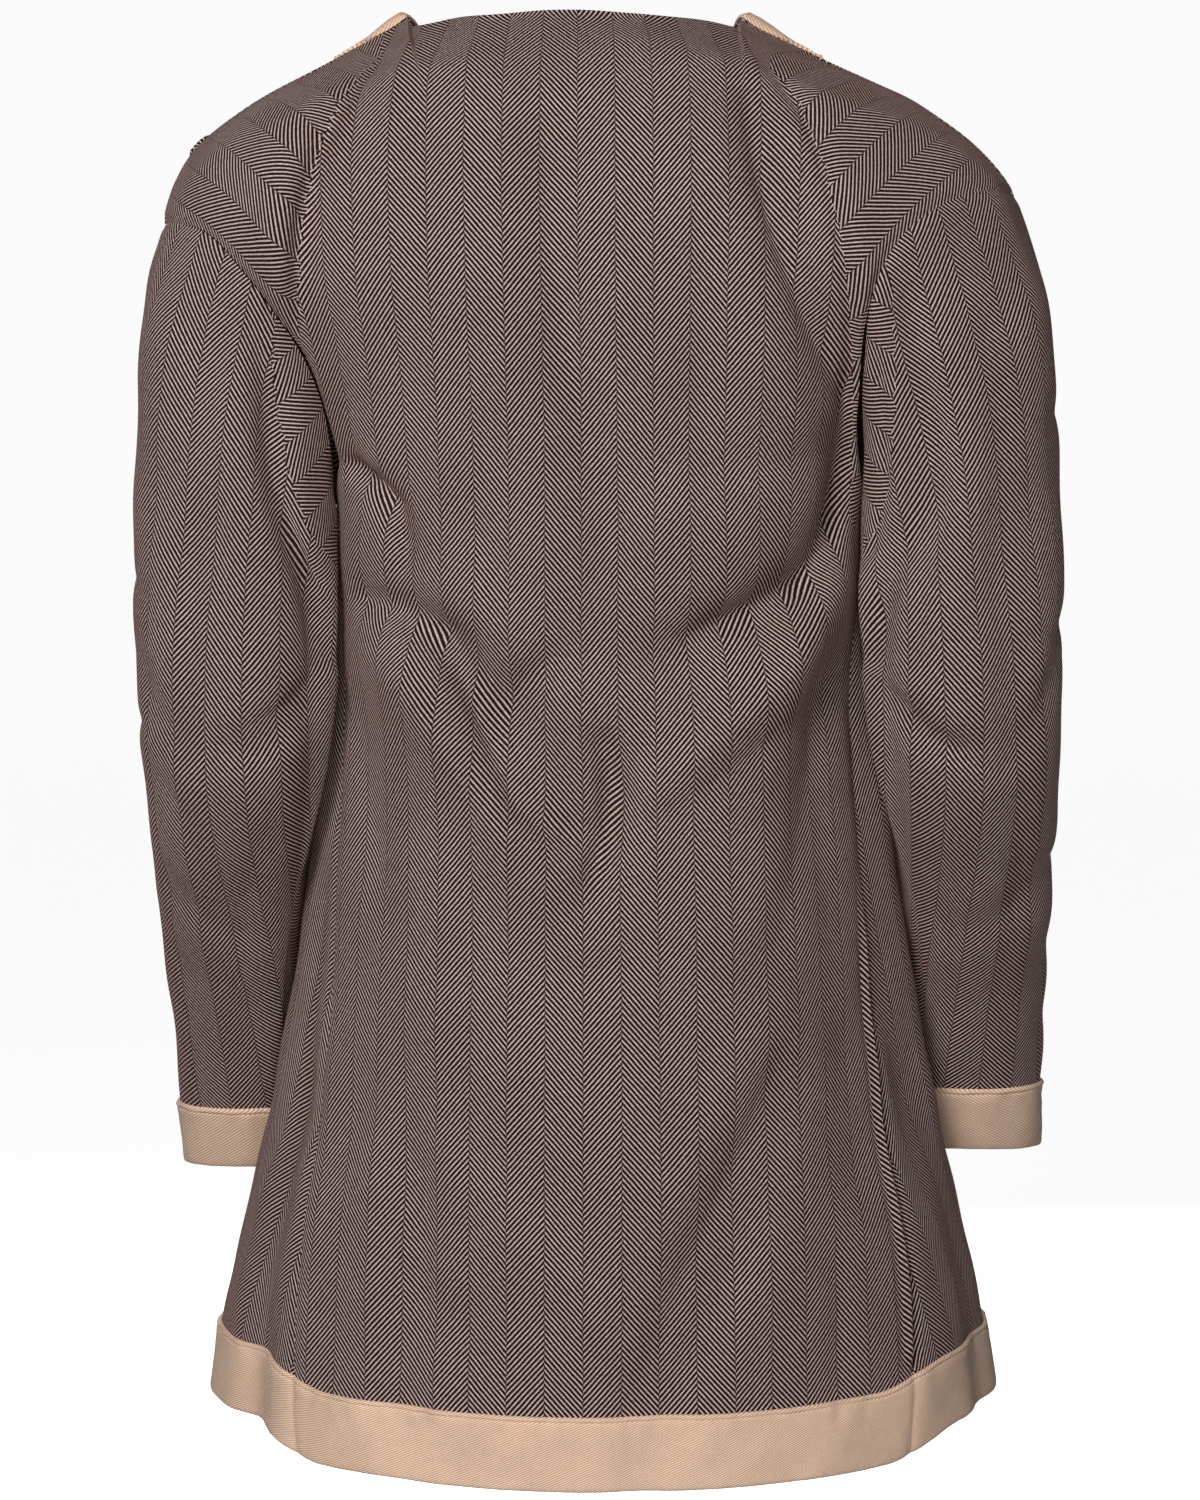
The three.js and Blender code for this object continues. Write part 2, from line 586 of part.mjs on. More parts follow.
for (const [side, sign] of [['left', 1], ['right', -1]]) {
  add(`front_${side}`, wallSolid((u, v) => frontPoint(sign, u, v), ...cells.front, {
    span: [0, 1 - seamTrim],
    rise: [seamTrim / 2, 1],
    thick: wall,
    outward: -sign,
    upright: () => 1,
  }), wool);
  add(`front_band_${side}`, wallSolid((u, v) => frontPoint(sign, u, v), ...cells.frontBand, {
    span: [0, bandColumns],
    rise: [seamTrim / 2, hemRise - seamTrim],
    out: bandOut,
    thick: bandThickness,
    outward: -sign,
    upright: () => 1,
  }), linen);
  add(`gore_${side}`, wallSolid((u, v) => gorePoint(sign, u, v), ...cells.gore, {
    span: [seamTrim, 1 - seamTrim], rise: [2 * seamTrim, 1], thick: wall, outward: sign,
  }), wool);
  add(`sleeve_${side}`, wallSolid((u, v) => sleevePoint(sign, u, v), ...cells.sleeve, {
    span: [0, 1], rise: [seamTrim, 1], thick: wall, outward: -sign, tube: true,
  }), wool);
  add(`cuff_band_${side}`, wallSolid((u, v) => sleevePoint(sign, u, v), cells.sleeve[0], 1, {
    span: [0, 1],
    rise: [cuffRise, 1],
    out: bandOut,
    thick: bandThickness,
    outward: -sign,
    tube: true,
  }), linen);
}

export default group;
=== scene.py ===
# Short herringbone kaftan in its worn form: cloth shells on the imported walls,
# linen bands, stitches, weaves, light and camera.
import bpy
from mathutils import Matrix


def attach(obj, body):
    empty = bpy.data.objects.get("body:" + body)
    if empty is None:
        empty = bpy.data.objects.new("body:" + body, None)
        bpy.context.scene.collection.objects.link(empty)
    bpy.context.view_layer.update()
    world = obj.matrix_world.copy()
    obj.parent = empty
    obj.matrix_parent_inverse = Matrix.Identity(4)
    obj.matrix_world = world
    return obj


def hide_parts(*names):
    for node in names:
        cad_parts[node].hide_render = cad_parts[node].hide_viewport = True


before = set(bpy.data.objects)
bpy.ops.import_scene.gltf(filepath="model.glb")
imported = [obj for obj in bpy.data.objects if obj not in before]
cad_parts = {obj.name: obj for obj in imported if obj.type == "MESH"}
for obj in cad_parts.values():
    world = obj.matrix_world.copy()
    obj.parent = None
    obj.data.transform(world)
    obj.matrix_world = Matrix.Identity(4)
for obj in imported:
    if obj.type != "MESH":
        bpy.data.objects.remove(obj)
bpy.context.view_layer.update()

import math

import bpy
import numpy as np
from mathutils import Vector

metre = 0.001  # the cutter's sizes below are in millimetres

view = {
    "away": 2.2,  # metres behind the garment
    "height": -0.196,
    "dip": 6.25,  # degrees
    "framePixels": 1200,
    "pixelsPerMetre": 1660,  # on the shoulder plane
    "sensor": 36.0,
}


def intoScene(name, data):
    thing = bpy.data.objects.new(name, data)
    bpy.context.scene.collection.objects.link(thing)
    return thing


def makeCamera():
    data = bpy.data.cameras.new("view")
    data.sensor_fit = "HORIZONTAL"
    data.sensor_width = view["sensor"]
    data.lens = view["sensor"] * view["pixelsPerMetre"] * view["away"] / view["framePixels"]
    camera = intoScene("view", data)
    camera.location = (0, view["away"], view["height"])
    look = Vector((0, -1, -math.tan(math.radians(view["dip"]))))
    camera.rotation_euler = look.to_track_quat("-Z", "Y").to_euler()
    bpy.context.scene.camera = camera


makeCamera()
print("camera set")

# the garment's own sizes, the same as the cutter's
cut = {
    "neckHalfWidth": 99,
    "neckDrop": 6,
    "collarRise": 20,
    "neckPoint": -215,
    "underarm": -282,
    "hem": -850,
    "hemSag": 12,
    "armClear": 2,
    "cuffClear": 3,
    "cuffClearFrom": (-635, -665),
    "armFree": (-170, -190),  # where the sleeve starts to lie along the torso
    "hemBand": 44,
    "frontBand": 42,
    "frontEdge": 1.2,
    "cloth": 1.8,  # thickness
    "bandAbove": 0.25,  # clear of the cloth under it
    "yoke": 0.4,  # share of a panel's rows above the underarm
    "shoulderRound": 0.07,
    "collarRun": 0.13,
    "neckShare": 0.4,
    "neckSlope": 1.1,
    "neckRun": 1.25,
    "backFall": 1.25,
    "frontFall": 1.5,
    "lowerRows": 18,
    "bandColumns": 0.2,
    "cuffRise": {1: 1 - 1 / 16.5, -1: 1 - 1 / 15},
    "goreTop": 7,
    "goreBottom": 42,
    "goreHem": 276,
}


def hermite(a, b, slopeA, slopeB, t):
    t2 = t * t
    t3 = t2 * t
    return a * (2 * t3 - 3 * t2 + 1) + slopeA * (t3 - 2 * t2 + t) + b * (3 * t2 - 2 * t3) + slopeB * (t3 - t2)


def onTable(heights, values, z):
    # smooth value at height z of a table that runs downwards
    k, q = -heights, -np.asarray(z, dtype=float)
    last = len(k) - 1
    i = np.clip(np.searchsorted(k, q, side="right") - 1, 0, last - 1)
    before, after = np.maximum(i - 1, 0), np.minimum(i + 2, last)
    span = k[i + 1] - k[i]
    t = np.clip((q - k[i]) / span, 0, 1)
    slopeA = (values[i + 1] - values[before]) / (k[i + 1] - k[before]) * span
    slopeB = (values[after] - values[i]) / (k[after] - k[i]) * span
    return hermite(values[i], values[i + 1], slopeA, slopeB, t)


def torsoAt(name, z):
    return onTable(torso[:, 0], torso[:, body["names"].index(name)], z)


def onList(stations, t):
    # stations: evenly spaced values, first axis; t: 0 to 1
    last = len(stations) - 1
    place = np.clip(t, 0, 1) * last
    i = np.minimum(np.floor(place).astype(int), last - 1)
    f = place - i
    pick = (lambda k: stations[k]) if stations.ndim == 1 else (lambda k: stations[k, np.arange(len(t))])
    slopeA = (pick(i + 1) - pick(np.maximum(i - 1, 0))) * np.where(i > 0, 0.5, 1.0)
    slopeB = (pick(np.minimum(i + 2, last)) - pick(i)) * np.where(i < last - 1, 0.5, 1.0)
    return hermite(pick(i), pick(i + 1), slopeA, slopeB, f)


def smooth(low, high, value):
    t = np.clip((value - low) / (high - low), 0, 1)
    return t * t * (3 - 2 * t)


def between(ends, value):
    # ends: where it starts to rise, is full, starts to fall again and is gone
    rise, full, fall, gone = ends
    return smooth(rise, full, value) * smooth(gone, fall, value)


def lerp(a, b, t):
    return a + (b - a) * t


def hill(distance, reach):
    return np.exp(-((distance / reach) ** 2))


def curveAt(row, steps):
    # places along a curve that is given by its start, middle and end
    t = np.linspace(0, 1, steps + 1)
    return tuple((1 - t) ** 2 * row[k] + 2 * (1 - t) * t * row[k + 2] + t * t * row[k + 4] for k in (0, 1))


def foldDepth(folds, x, z, sharp=2.0):
    # soft troughs round curves in a flat pair of coordinates
    steps = 16
    total = np.zeros_like(x)
    for row in folds:
        x0, z0, x1, z1, x2, z2, width, depth = row
        reach = 3.2 * width
        close = (x > min(x0, x1, x2) - reach) & (x < max(x0, x1, x2) + reach)
        close &= (z > min(z0, z1, z2) - reach) & (z < max(z0, z1, z2) + reach)
        px, pz = x[close], z[close]
        near, along = np.full_like(px, 1e9), np.zeros_like(px)
        cx, cz = curveAt(row, steps)
        for k in range(steps):
            dx, dz = cx[k + 1] - cx[k], cz[k + 1] - cz[k]
            share = np.clip(((px - cx[k]) * dx + (pz - cz[k]) * dz) / (dx * dx + dz * dz + 1e-9), 0, 1)
            far = np.hypot(cx[k] + share * dx - px, cz[k] + share * dz - pz)
            closer = far < near
            near = np.where(closer, far, near)
            along = np.where(closer, (k + share) / steps, along)
        taper = 0.35 + 0.65 * np.sin(np.pi * (0.12 + 0.76 * along))
        total[close] += depth * taper * np.exp(-((near / width) ** sharp))
    return total


# the torso's surfaces, with u across a panel and v down it
body = {
    "names": ("z", "half", "side", "back", "front", "square", "lean"),
    "rows": [
        (0, 99, 0, 52, -8, 2.1, 15),
        (-8, 111, 0, 65, -22, 2.2, 15),
        (-27, 151, 0, 82, -46, 2.3, 12),
        (-51, 199, 0, 97, -68, 2.4, 9),
        (-76, 232, 0, 107, -84, 2.4, 7),
        (-100, 250, 0, 114, -95, 2.4, 5),
        (-127, 257, 0, 119, -103, 2.4, 3),
        (-155, 245, 0, 122, -110, 2.4, 3),
        (-191, 203, 0, 122, -116, 2.4, 2),
        (-230, 174, 0, 119, -120, 2.4, 1),
        (-282, 158, 0, 114, -123, 2.4, 0),
        (-340, 159, -2, 108, -124, 2.4, 0),
        (-400, 166, -8, 103, -126, 2.3, 0),
        (-470, 175, -18, 101, -132, 2.2, -1),
        (-550, 186, -32, 104, -145, 2.1, -2),
        (-640, 203, -48, 109, -168, 2.0, -2),
        (-726, 223, -63, 113, -195, 2.0, -2),
        (-806, 242, -77, 117, -228, 2.0, -2),
        (-850, 249, -85, 119, -250, 2.0, -2),
    ],
    "armholes": {  # x and height down the dropped-shoulder seam
        1: [(257, -122), (247, -122), (223, -131), (192, -165), (168, -206), (157, -250), (157, -282)],
        -1: [(252, -108), (238, -106), (211, -111), (176, -133), (156, -175), (153, -232), (157, -282)],
    },
}
torso = np.array(body["rows"], dtype=float)


def sagAt(ratio, z):
    return cut["hemSag"] * smooth(-450, cut["hem"], z) * smooth(0.88, 0.68, ratio)


def roundedSquare(ratio, square):
    return (1 - ratio ** square) ** (1 / square)


def torsoReach(y, z):
    half, square, side = torsoAt("half", z), torsoAt("square", z), torsoAt("side", z)
    reach = np.where(y > side, torsoAt("back", z), torsoAt("front", z)) - side
    ratio = np.minimum(np.abs((y - side) / reach), 1)
    return half * roundedSquare(ratio, square)


def torsoPoint(x, z, facing):
    half, square, side = torsoAt("half", z), torsoAt("square", z), torsoAt("side", z)
    reach = torsoAt("back" if facing > 0 else "front", z) - side
    ratio = np.minimum(np.abs(x) / half, 1)
    return x + torsoAt("lean", z), side + reach * roundedSquare(ratio, square), z - sagAt(ratio, z)


def seamAngle(z):
    share = (z - cut["underarm"]) / (cut["hem"] - cut["underarm"])
    return np.radians(lerp(cut["goreTop"], cut["goreBottom"], share))


def seamX(z):
    return torsoAt("half", z) * np.cos(seamAngle(z)) ** (2 / torsoAt("square", z))


ridgeZ = np.arange(0, -125.01, -0.5)
ridgeX = np.maximum.accumulate(torsoAt("half", ridgeZ))


def ridgeHeight(x):
    return np.interp(x, ridgeX, ridgeZ)


# the rows below the underarm are spaced so that one of them runs along the hem band's edge
fallPower = math.log(1 - cut["hemBand"] / (cut["underarm"] - cut["hem"])) / math.log(1 - 1 / cut["lowerRows"])
hemRise = 1 - (1 - cut["yoke"]) / cut["lowerRows"]


def rowHeight(v):
    share = np.clip((v - cut["yoke"]) / (1 - cut["yoke"]), 0, 1)
    return cut["underarm"] + (cut["hem"] - cut["underarm"]) * share ** fallPower


def armholePoint(sign, t):
    left, right = (np.array(body["armholes"][k], float) for k in (1, -1))
    return tuple(np.where(sign > 0, onList(left[:, k], t), onList(right[:, k], t)) for k in (0, 1))


def panelPlace(sign, u, v, isBack):
    zeros = np.zeros_like(v)
    cornerX, cornerZ = armholePoint(sign, zeros)
    t = np.clip(v / cut["yoke"], 0, 1)
    edgeX, edgeZ = armholePoint(sign, t)
    low = v > cut["yoke"]
    lowZ = rowHeight(v)
    lowX = lerp(0 if isBack else cut["frontEdge"], seamX(lowZ), u)
    if isBack:
        down = t ** cut["backFall"]
        inNeck = u < cut["neckShare"]
        topX = np.where(inNeck, u / cut["neckShare"] * cut["neckHalfWidth"],
                        lerp(cut["neckHalfWidth"], cornerX, (u - cut["neckShare"]) / (1 - cut["neckShare"])))
        topZ = np.where(inNeck, -cut["neckDrop"] * (u / cut["neckShare"]) ** 2,
                        np.maximum(ridgeHeight(topX), cornerZ))
        bottom = seamX(np.array(float(cut["underarm"])))
        pull = u ** 4
        x = lerp(topX, u * bottom, down) + pull * (edgeX - lerp(cornerX, bottom, down))
        z = lerp(topZ, cut["underarm"], down) + pull * (edgeZ - lerp(cornerZ, cut["underarm"], down))
    else:
        down = t ** cut["frontFall"]
        run = np.minimum(down * cut["neckRun"], 1)
        startX = cut["frontEdge"] + (cut["neckHalfWidth"] - cut["frontEdge"]) * (1 - run) ** 0.9
        startZ = lerp(lerp(-cut["neckDrop"], cut["neckPoint"], run), cut["underarm"], smooth(0.8, 1, down))
        topX = lerp(cut["neckHalfWidth"], cornerX, u)
        topZ = np.maximum(ridgeHeight(topX), cornerZ)
        bow = (1 - t) ** 2
        x = lerp(startX, edgeX, u) + bow * (topX - lerp(cut["neckHalfWidth"], cornerX, u))
        z = lerp(startZ, edgeZ, u) + bow * (topZ - lerp(-cut["neckDrop"], cornerZ, u))
    return np.where(low, lowX, x), np.where(low, lowZ, z)


def foldShare(u, v):
    nearSeam = smooth(0.88, 1, u) * smooth(cut["yoke"] - 0.12, cut["yoke"] - 0.02, v)
    return smooth(0, 0.05, v) * (1 - nearSeam)


def roundOver(v):
    return np.sin(np.pi / 2 * np.minimum(v / cut["shoulderRound"], 1))


# folds and creases: start, middle and end in x and z, then width and depth (ridges are negative)
backPiece = {
    "cells": (170, 230),
    "folds": [
        (140, -36, 171, -130, 168, -262, 15, 9),
        (186, -45, 182, -130, 172, -200, 20, -5),
        (-100, -60, -124, -150, -152, -262, 16, 8),
        (152, -270, 125, -268, 112, -312, 13, 7),
        (150, -338, 78, -338, 18, -470, 17, 11),
        (150, -385, 95, -400, 40, -500, 26, -7),
        (-152, -262, -130, -352, -44, -368, 18, 13),
        (-150, -322, -110, -425, -40, -450, 24, -8),
        (-4, -425, -14, -470, 8, -515, 13, 7),
        (52, -400, 32, -380, 18, -372, 13, 4),
        (26, -80, 28, -210, -8, -318, 20, 5),
        (-110, -625, -70, -730, -22, -845, 18, 6),
        (108, -640, 122, -740, 118, -845, 18, 5),
    ],
    "creases": [  # the first two run beside the shoulder caps
        (129, -27, 180, -73, 173, -218, 6.5, 8.5),
        (-98, -34, -140, -75, -148, -240, 6, 6.5),
        (150, -60, 190, -110, 187, -225, 14, -4.5),
        (-112, -70, -152, -110, -160, -225, 12, -3.5),
        (-85, -50, -92, -140, -147, -229, 7, 6.0),
        (-66, -70, -74, -150, -118, -236, 13, -3.5),
        (29, -66, 27, -190, -10, -318, 11, 4.2),
        (56, -80, 62, -190, 30, -300, 17, -2.6),
        (-150, -215, -150, -285, -118, -332, 8, 9.5),
        (-118, -330, -90, -346, -52, -363, 8, 7.0),
        (-134, -336, -118, -392, -50, -432, 14, -6.0),
        (-140, -395, -96, -430, -30, -470, 12, 4.0),
        (156, -262, 135, -268, 120, -286, 6, 8.5),
        (122, -286, 112, -304, 116, -322, 7, 6.5),
        (150, -342, 120, -342, 90, -362, 8, 6.5),
        (90, -362, 66, -408, 50, -452, 9, 7.5),
        (52, -450, 38, -470, 14, -476, 8, 6.0),
        (136, -376, 104, -392, 56, -480, 15, -5.5),
        (-140, -250, -96, -268, -40, -262, 12, 2.6),
        (-2, -424, -14, -455, 4, -500, 8, 6.5),
        (52, -398, 40, -384, 28, -372, 8, 3.0),
        (70, -300, 58, -330, 40, -346, 12, 2.4),
        (-152, -372, -128, -450, -108, -540, 15, 5.0),
        (157, -403, 148, -460, 132, -530, 15, 4.5),
        (46, -556, 8, -562, -30, -546, 13, 2.6),
        (-108, -612, -72, -690, -50, -735, 11, 4.6),
        (-50, -735, -34, -775, -16, -820, 11, 3.4),
        (-82, -600, -40, -690, -16, -780, 18, -2.6),
        (118, -618, 120, -655, 116, -700, 12, 3.6),
        (104, -680, 108, -730, 102, -775, 12, 3.2),
        (136, -640, 138, -720, 134, -800, 14, -2.6),
        (98, -752, 70, -790, 34, -806, 14, 2.4),
        (-142, -735, -146, -775, -144, -812, 11, 4.0),
        (60, -120, 66, -190, 58, -250, 15, 2.0),
        (-60, -130, -52, -200, -60, -262, 15, 2.4),
    ],
    "capTurn": {1: 44, -1: -42},  # degrees that the wales turn beyond those two
    "capReach": 60,
    "roll": 2.4,  # how far the rolled edge stands out beside the right gore
    "rollWidth": 2.2,
    "rollRun": (-490, -570, -798, -812),  # heights
    "rollAt": 2.6,
    "groove": (8, 3, 1.6),  # beside the roll: place, width and depth
    "draw": (1.05, 0.085),  # the wales stand a little closer towards the hem
}


def backSurface(across, v):
    sign = np.where(across < 0, -1.0, 1.0)
    u = np.minimum(np.abs(across), 1)
    placeX, placeZ = panelPlace(sign, u, v, True)
    x, y, z = torsoPoint(sign * placeX, placeZ, 1)
    neck = np.maximum(1 - (u / cut["neckShare"]) ** 2, 0)
    y = lerp(neck * torso[0][3], y, roundOver(v))
    y = y - foldDepth(backPiece["folds"], sign * placeX, placeZ) * foldShare(u, v)
    return np.stack([x, y, z], -1)


def bandShare(sign, v):
    inner, _ = panelPlace(sign, np.zeros_like(v), v, False)
    outer, _ = panelPlace(sign, np.ones_like(v), v, False)
    slope = lerp(cut["neckSlope"], 1, smooth(cut["yoke"] - 0.1, cut["yoke"] + 0.01, v))
    return np.minimum(cut["frontBand"] * slope / (outer - inner), 0.5)


frontPiece = {
    "cells": (64, 200),
    "folds": [
        (132, -60, 140, -160, 150, -262, 15, 7),
        (150, -310, 110, -360, 70, -470, 26, 7),
        (120, -600, 105, -720, 100, -845, 24, 6),
    ],
    "creases": {
        1: [
            (136, -50, 144, -130, 152, -210, 8, 3.5),
            (152, -255, 132, -285, 96, -300, 9, 4.0),
            (150, -330, 118, -358, 74, -372, 9, 3.0),
            (140, -420, 112, -452, 66, -470, 11, 2.2),
            (88, -500, 82, -620, 92, -760, 13, 2.0),
            (132, -560, 126, -660, 134, -780, 12, 2.4),
        ],
        -1: [
            (128, -56, 140, -130, 150, -216, 8, 3.5),
            (152, -262, 124, -296, 84, -304, 9, 4.0),
            (150, -344, 110, -362, 80, -392, 9, 3.0),
            (142, -410, 120, -462, 78, -488, 11, 2.2),
            (70, -520, 84, -640, 78, -790, 13, 2.0),
            (136, -600, 124, -690, 128, -800, 12, 2.4),
        ],
    },
}


def frontSurface(side, column, v):
    sign = np.full_like(v, side)
    share = bandShare(sign, v)
    under = column < cut["bandColumns"]
    u = np.where(under, share * column / cut["bandColumns"],
                 lerp(share, 1, (column - cut["bandColumns"]) / (1 - cut["bandColumns"])))
    placeX, placeZ = panelPlace(sign, u, v, False)
    x, y, z = torsoPoint(sign * placeX, placeZ, -1)
    fromNeck = placeX - panelPlace(sign, np.zeros_like(v), v, False)[0]
    roll = smooth(-6, 9, fromNeck) * (1 - smooth(9, cut["frontBand"] * 1.1, fromNeck))
    y = y * roundOver(v)
    z = z + cut["collarRise"] * roll * np.sin(np.pi * np.minimum(v / cut["collarRun"], 1))
    y = y + foldDepth(frontPiece["folds"], placeX, placeZ) * foldShare(u, v)
    return np.stack([x, y, z], -1)


gorePiece = {
    "cells": (56, 150),
    "flutes": {  # across, start, width, depth
        1: [(0.17, 0.3, 20, 11), (0.6, 0.45, 24, 7)],
        -1: [(0.3, 0.45, 20, 6), (0.72, 0.4, 24, 8)],
    },
    "dip": 3.0,  # how far the right one drops beside the back's rolled edge
    "dipReach": 8.0,
    "armpit": (-297, 16, 1.6),  # fullness under the left arm: height, reach and depth
}


def goreSurface(side, u, v):
    z = lerp(cut["underarm"], cut["hem"], v)
    angle = lerp(seamAngle(z), -seamAngle(z), u)
    power = 2 / torsoAt("square", z)
    middle = torsoAt("side", z)
    reach = np.where(angle > 0, torsoAt("back", z), torsoAt("front", z)) - middle
    ratio = np.cos(angle) ** power
    x = side * torsoAt("half", z) * ratio + torsoAt("lean", z)
    y = middle + reach * np.abs(np.sin(angle)) ** power
    depth = np.zeros_like(z)
    for across, start, width, deep in gorePiece["flutes"][side]:
        depth += deep * smooth(start, 1, v) * hill((u - across) * cut["goreHem"], width)
    depth *= smooth(0, 0.1, u) * smooth(1, 0.9, u)
    return np.stack([x - side * depth * 0.8, y - depth * np.sin(angle), z - sagAt(ratio, z)], -1)


# folds and creases: place round it and along it at start, middle and end, then width and depth
sleevePiece = {
    "cells": (116, 170),
    "girth": 330,
    "length": 560,
    "rows": [  # z, slant, tilt, x, y, across, deep
        (-240, 66, 8, 210, 26, 58, 64),
        (-315, 34, 2, 210, 24, 65, 63),
        (-385, 8, 2, 213, 28, 64, 61),
        (-455, 0, 4, 216, 12, 59, 55),
        (-530, 0, 6, 224, -36, 52, 47),
        (-612, 0, 4, 229, -92, 48, 40),
        (-714, 0, -4, 234, -143, 44, 33),
    ],
    "drop": {1: 8, -1: -3},
    "lean": [(-100, 3), (-300, 2), (-450, -1), (-600, -5), (-700, -8)],
    "folds": [
        (0.30, 0.06, 0.34, 0.22, 0.42, 0.38, 12, 7),
        (0.18, 0.10, 0.19, 0.30, 0.17, 0.52, 13, 6),
        (0.36, 0.46, 0.30, 0.52, 0.24, 0.51, 11, 5),
        (0.02, 0.40, 0.08, 0.44, 0.14, 0.50, 11, 4),
        (0.55, 0.50, 0.65, 0.46, 0.78, 0.49, 13, 6),
        (0.52, 0.58, 0.62, 0.60, 0.74, 0.56, 12, 5),
        (0.10, 0.68, 0.18, 0.72, 0.28, 0.74, 12, 4),
    ],
    "creases": {
        1: [
            (0.25, 0.01, 0.33, 0.12, 0.40, 0.25, 9, 7.0),
            (0.21, 0.05, 0.23, 0.25, 0.24, 0.45, 10, 2.6),
            (0.40, 0.40, 0.34, 0.47, 0.25, 0.49, 7, 3.0),
            (0.95, 0.33, 1.02, 0.37, 1.09, 0.36, 7, 2.4),
            (0.94, 0.47, 1.00, 0.50, 1.10, 0.49, 7, 2.6),
            (0.12, 0.56, 0.18, 0.62, 0.22, 0.70, 9, 2.4),
            (0.30, 0.62, 0.24, 0.74, 0.27, 0.86, 9, 2.2),
            (0.04, 0.72, 0.10, 0.78, 0.17, 0.80, 8, 1.8),
            (0.60, 0.44, 0.70, 0.42, 0.82, 0.45, 7, 3.4),
            (0.62, 0.53, 0.71, 0.55, 0.80, 0.52, 7, 3.4),
            (0.68, 0.08, 0.72, 0.22, 0.70, 0.36, 10, 2.6),
            (0.78, 0.62, 0.74, 0.72, 0.80, 0.84, 9, 2.0),
            (0.38, 0.16, 0.40, 0.45, 0.38, 0.88, 14, 6.0),
            (0.46, 0.06, 0.50, 0.12, 0.54, 0.18, 10, -1.6),
        ],
        -1: [
            (0.27, 0.01, 0.26, 0.16, 0.33, 0.40, 10, 6.5),
            (0.34, 0.02, 0.36, 0.10, 0.42, 0.18, 6, 3.6),
            (0.14, 0.10, 0.12, 0.28, 0.15, 0.44, 10, 2.2),
            (0.93, 0.20, 1.00, 0.23, 1.07, 0.22, 7, 2.6),
            (0.95, 0.38, 1.02, 0.42, 1.12, 0.40, 8, 3.0),
            (0.38, 0.44, 0.30, 0.52, 0.20, 0.54, 8, 2.8),
            (0.96, 0.64, 1.04, 0.68, 1.14, 0.66, 7, 2.4),
            (0.16, 0.58, 0.14, 0.70, 0.20, 0.82, 9, 2.2),
            (0.32, 0.66, 0.27, 0.78, 0.30, 0.88, 9, 1.9),
            (0.60, 0.46, 0.70, 0.43, 0.80, 0.47, 7, 3.4),
            (0.60, 0.56, 0.72, 0.58, 0.82, 0.54, 7, 3.0),
            (0.70, 0.10, 0.66, 0.24, 0.72, 0.34, 10, 2.6),
            (0.38, 0.18, 0.40, 0.45, 0.38, 0.88, 14, 6.5),
        ],
    },
    # where the cloth is turned under the cap: round it, along it, and by how many degrees
    "turn": {1: (0.27, 0.5, 0.0, 0.24, 46), -1: (0.28, 0.44, 0.0, 0.17, -46)},
}


def armholeLoop(side, a):
    t = np.where(a <= 0.5, a * 2, 2 - a * 2) * cut["yoke"]
    back = backSurface(np.full_like(a, side), t)
    front = frontSurface(side, np.ones_like(a), t)
    return np.where((a <= 0.5)[:, None], back, front)


def sleeveForm(side, a, v):
    rows, lean = sleevePiece["rows"], np.array(sleevePiece["lean"], dtype=float)
    stations = [armholeLoop(side, a)]
    angle = 2 * np.pi * a
    for z, slant, tilt, x, y, across, deep in rows:
        shift = onTable(lean[:, 0], lean[:, 1], np.full_like(a, z))
        share = (z - rows[0][0]) / (rows[-1][0] - rows[0][0])
        stations.append(np.stack([
            side * (x + across * np.cos(angle)) + shift,
            y + deep * np.sin(angle),
            z + slant * np.cos(angle) - tilt * np.sin(angle) - sleevePiece["drop"][side] * share ** 2,
        ], -1))
    stations = np.array(stations)
    return pressed(side, np.stack([onList(stations[:, :, k], v) for k in range(3)], -1), v)


def pressed(side, point, v):
    # away from the armhole the sleeve lies along the torso's side
    x, y, z = point[:, 0], point[:, 1], point[:, 2]
    lean = torsoAt("lean", z)
    limit = torsoReach(y, z) + cut["armClear"] + cut["cuffClear"] * smooth(*cut["cuffClearFrom"], z)
    over = side * (x - lean) - limit
    clear = limit + (over + np.hypot(over, 3)) / 2
    share = smooth(*cut["armFree"], z) * smooth(0, 0.025, v)
    return np.stack([lerp(x, side * clear + lean, share), y, z], -1)


def sleeveFolds(rows, around, v, sharp=2.0):
    girth, length = sleevePiece["girth"], sleevePiece["length"]
    unit = np.array([girth, length] * 3 + [1, 1])
    return foldDepth([tuple(row * unit) for row in np.array(rows)], around * girth, v * length, sharp)


def sleeveSurface(side, a, v):
    around = np.mod(a, 1.0)
    depth = sleeveFolds(sleevePiece["folds"], around, v)
    centre = sum(sleeveForm(side, np.full_like(a, q), v) for q in (0.0, 0.25, 0.5, 0.75)) / 4
    point = sleeveForm(side, around, v)
    inward = centre - point
    inward /= np.linalg.norm(inward, axis=1)[:, None]
    return point + inward * (depth * smooth(0.02, 0.1, v))[:, None]


def normalsOf(points, outward, tube=False):
    if tube:
        wide = np.concatenate([points[:, -2:-1], points, points[:, 1:2]], 1)
        du = wide[:, 2:] - wide[:, :-2]
    else:
        du = np.gradient(points, axis=1)
    dv = np.gradient(points, axis=0)
    normal = np.cross(du, dv) * outward
    return normal / (np.linalg.norm(normal, axis=2)[:, :, None] + 1e-12)


def sunk(points, outward, depth, tube=False):
    return points - normalsOf(points, outward, tube) * depth[..., None]


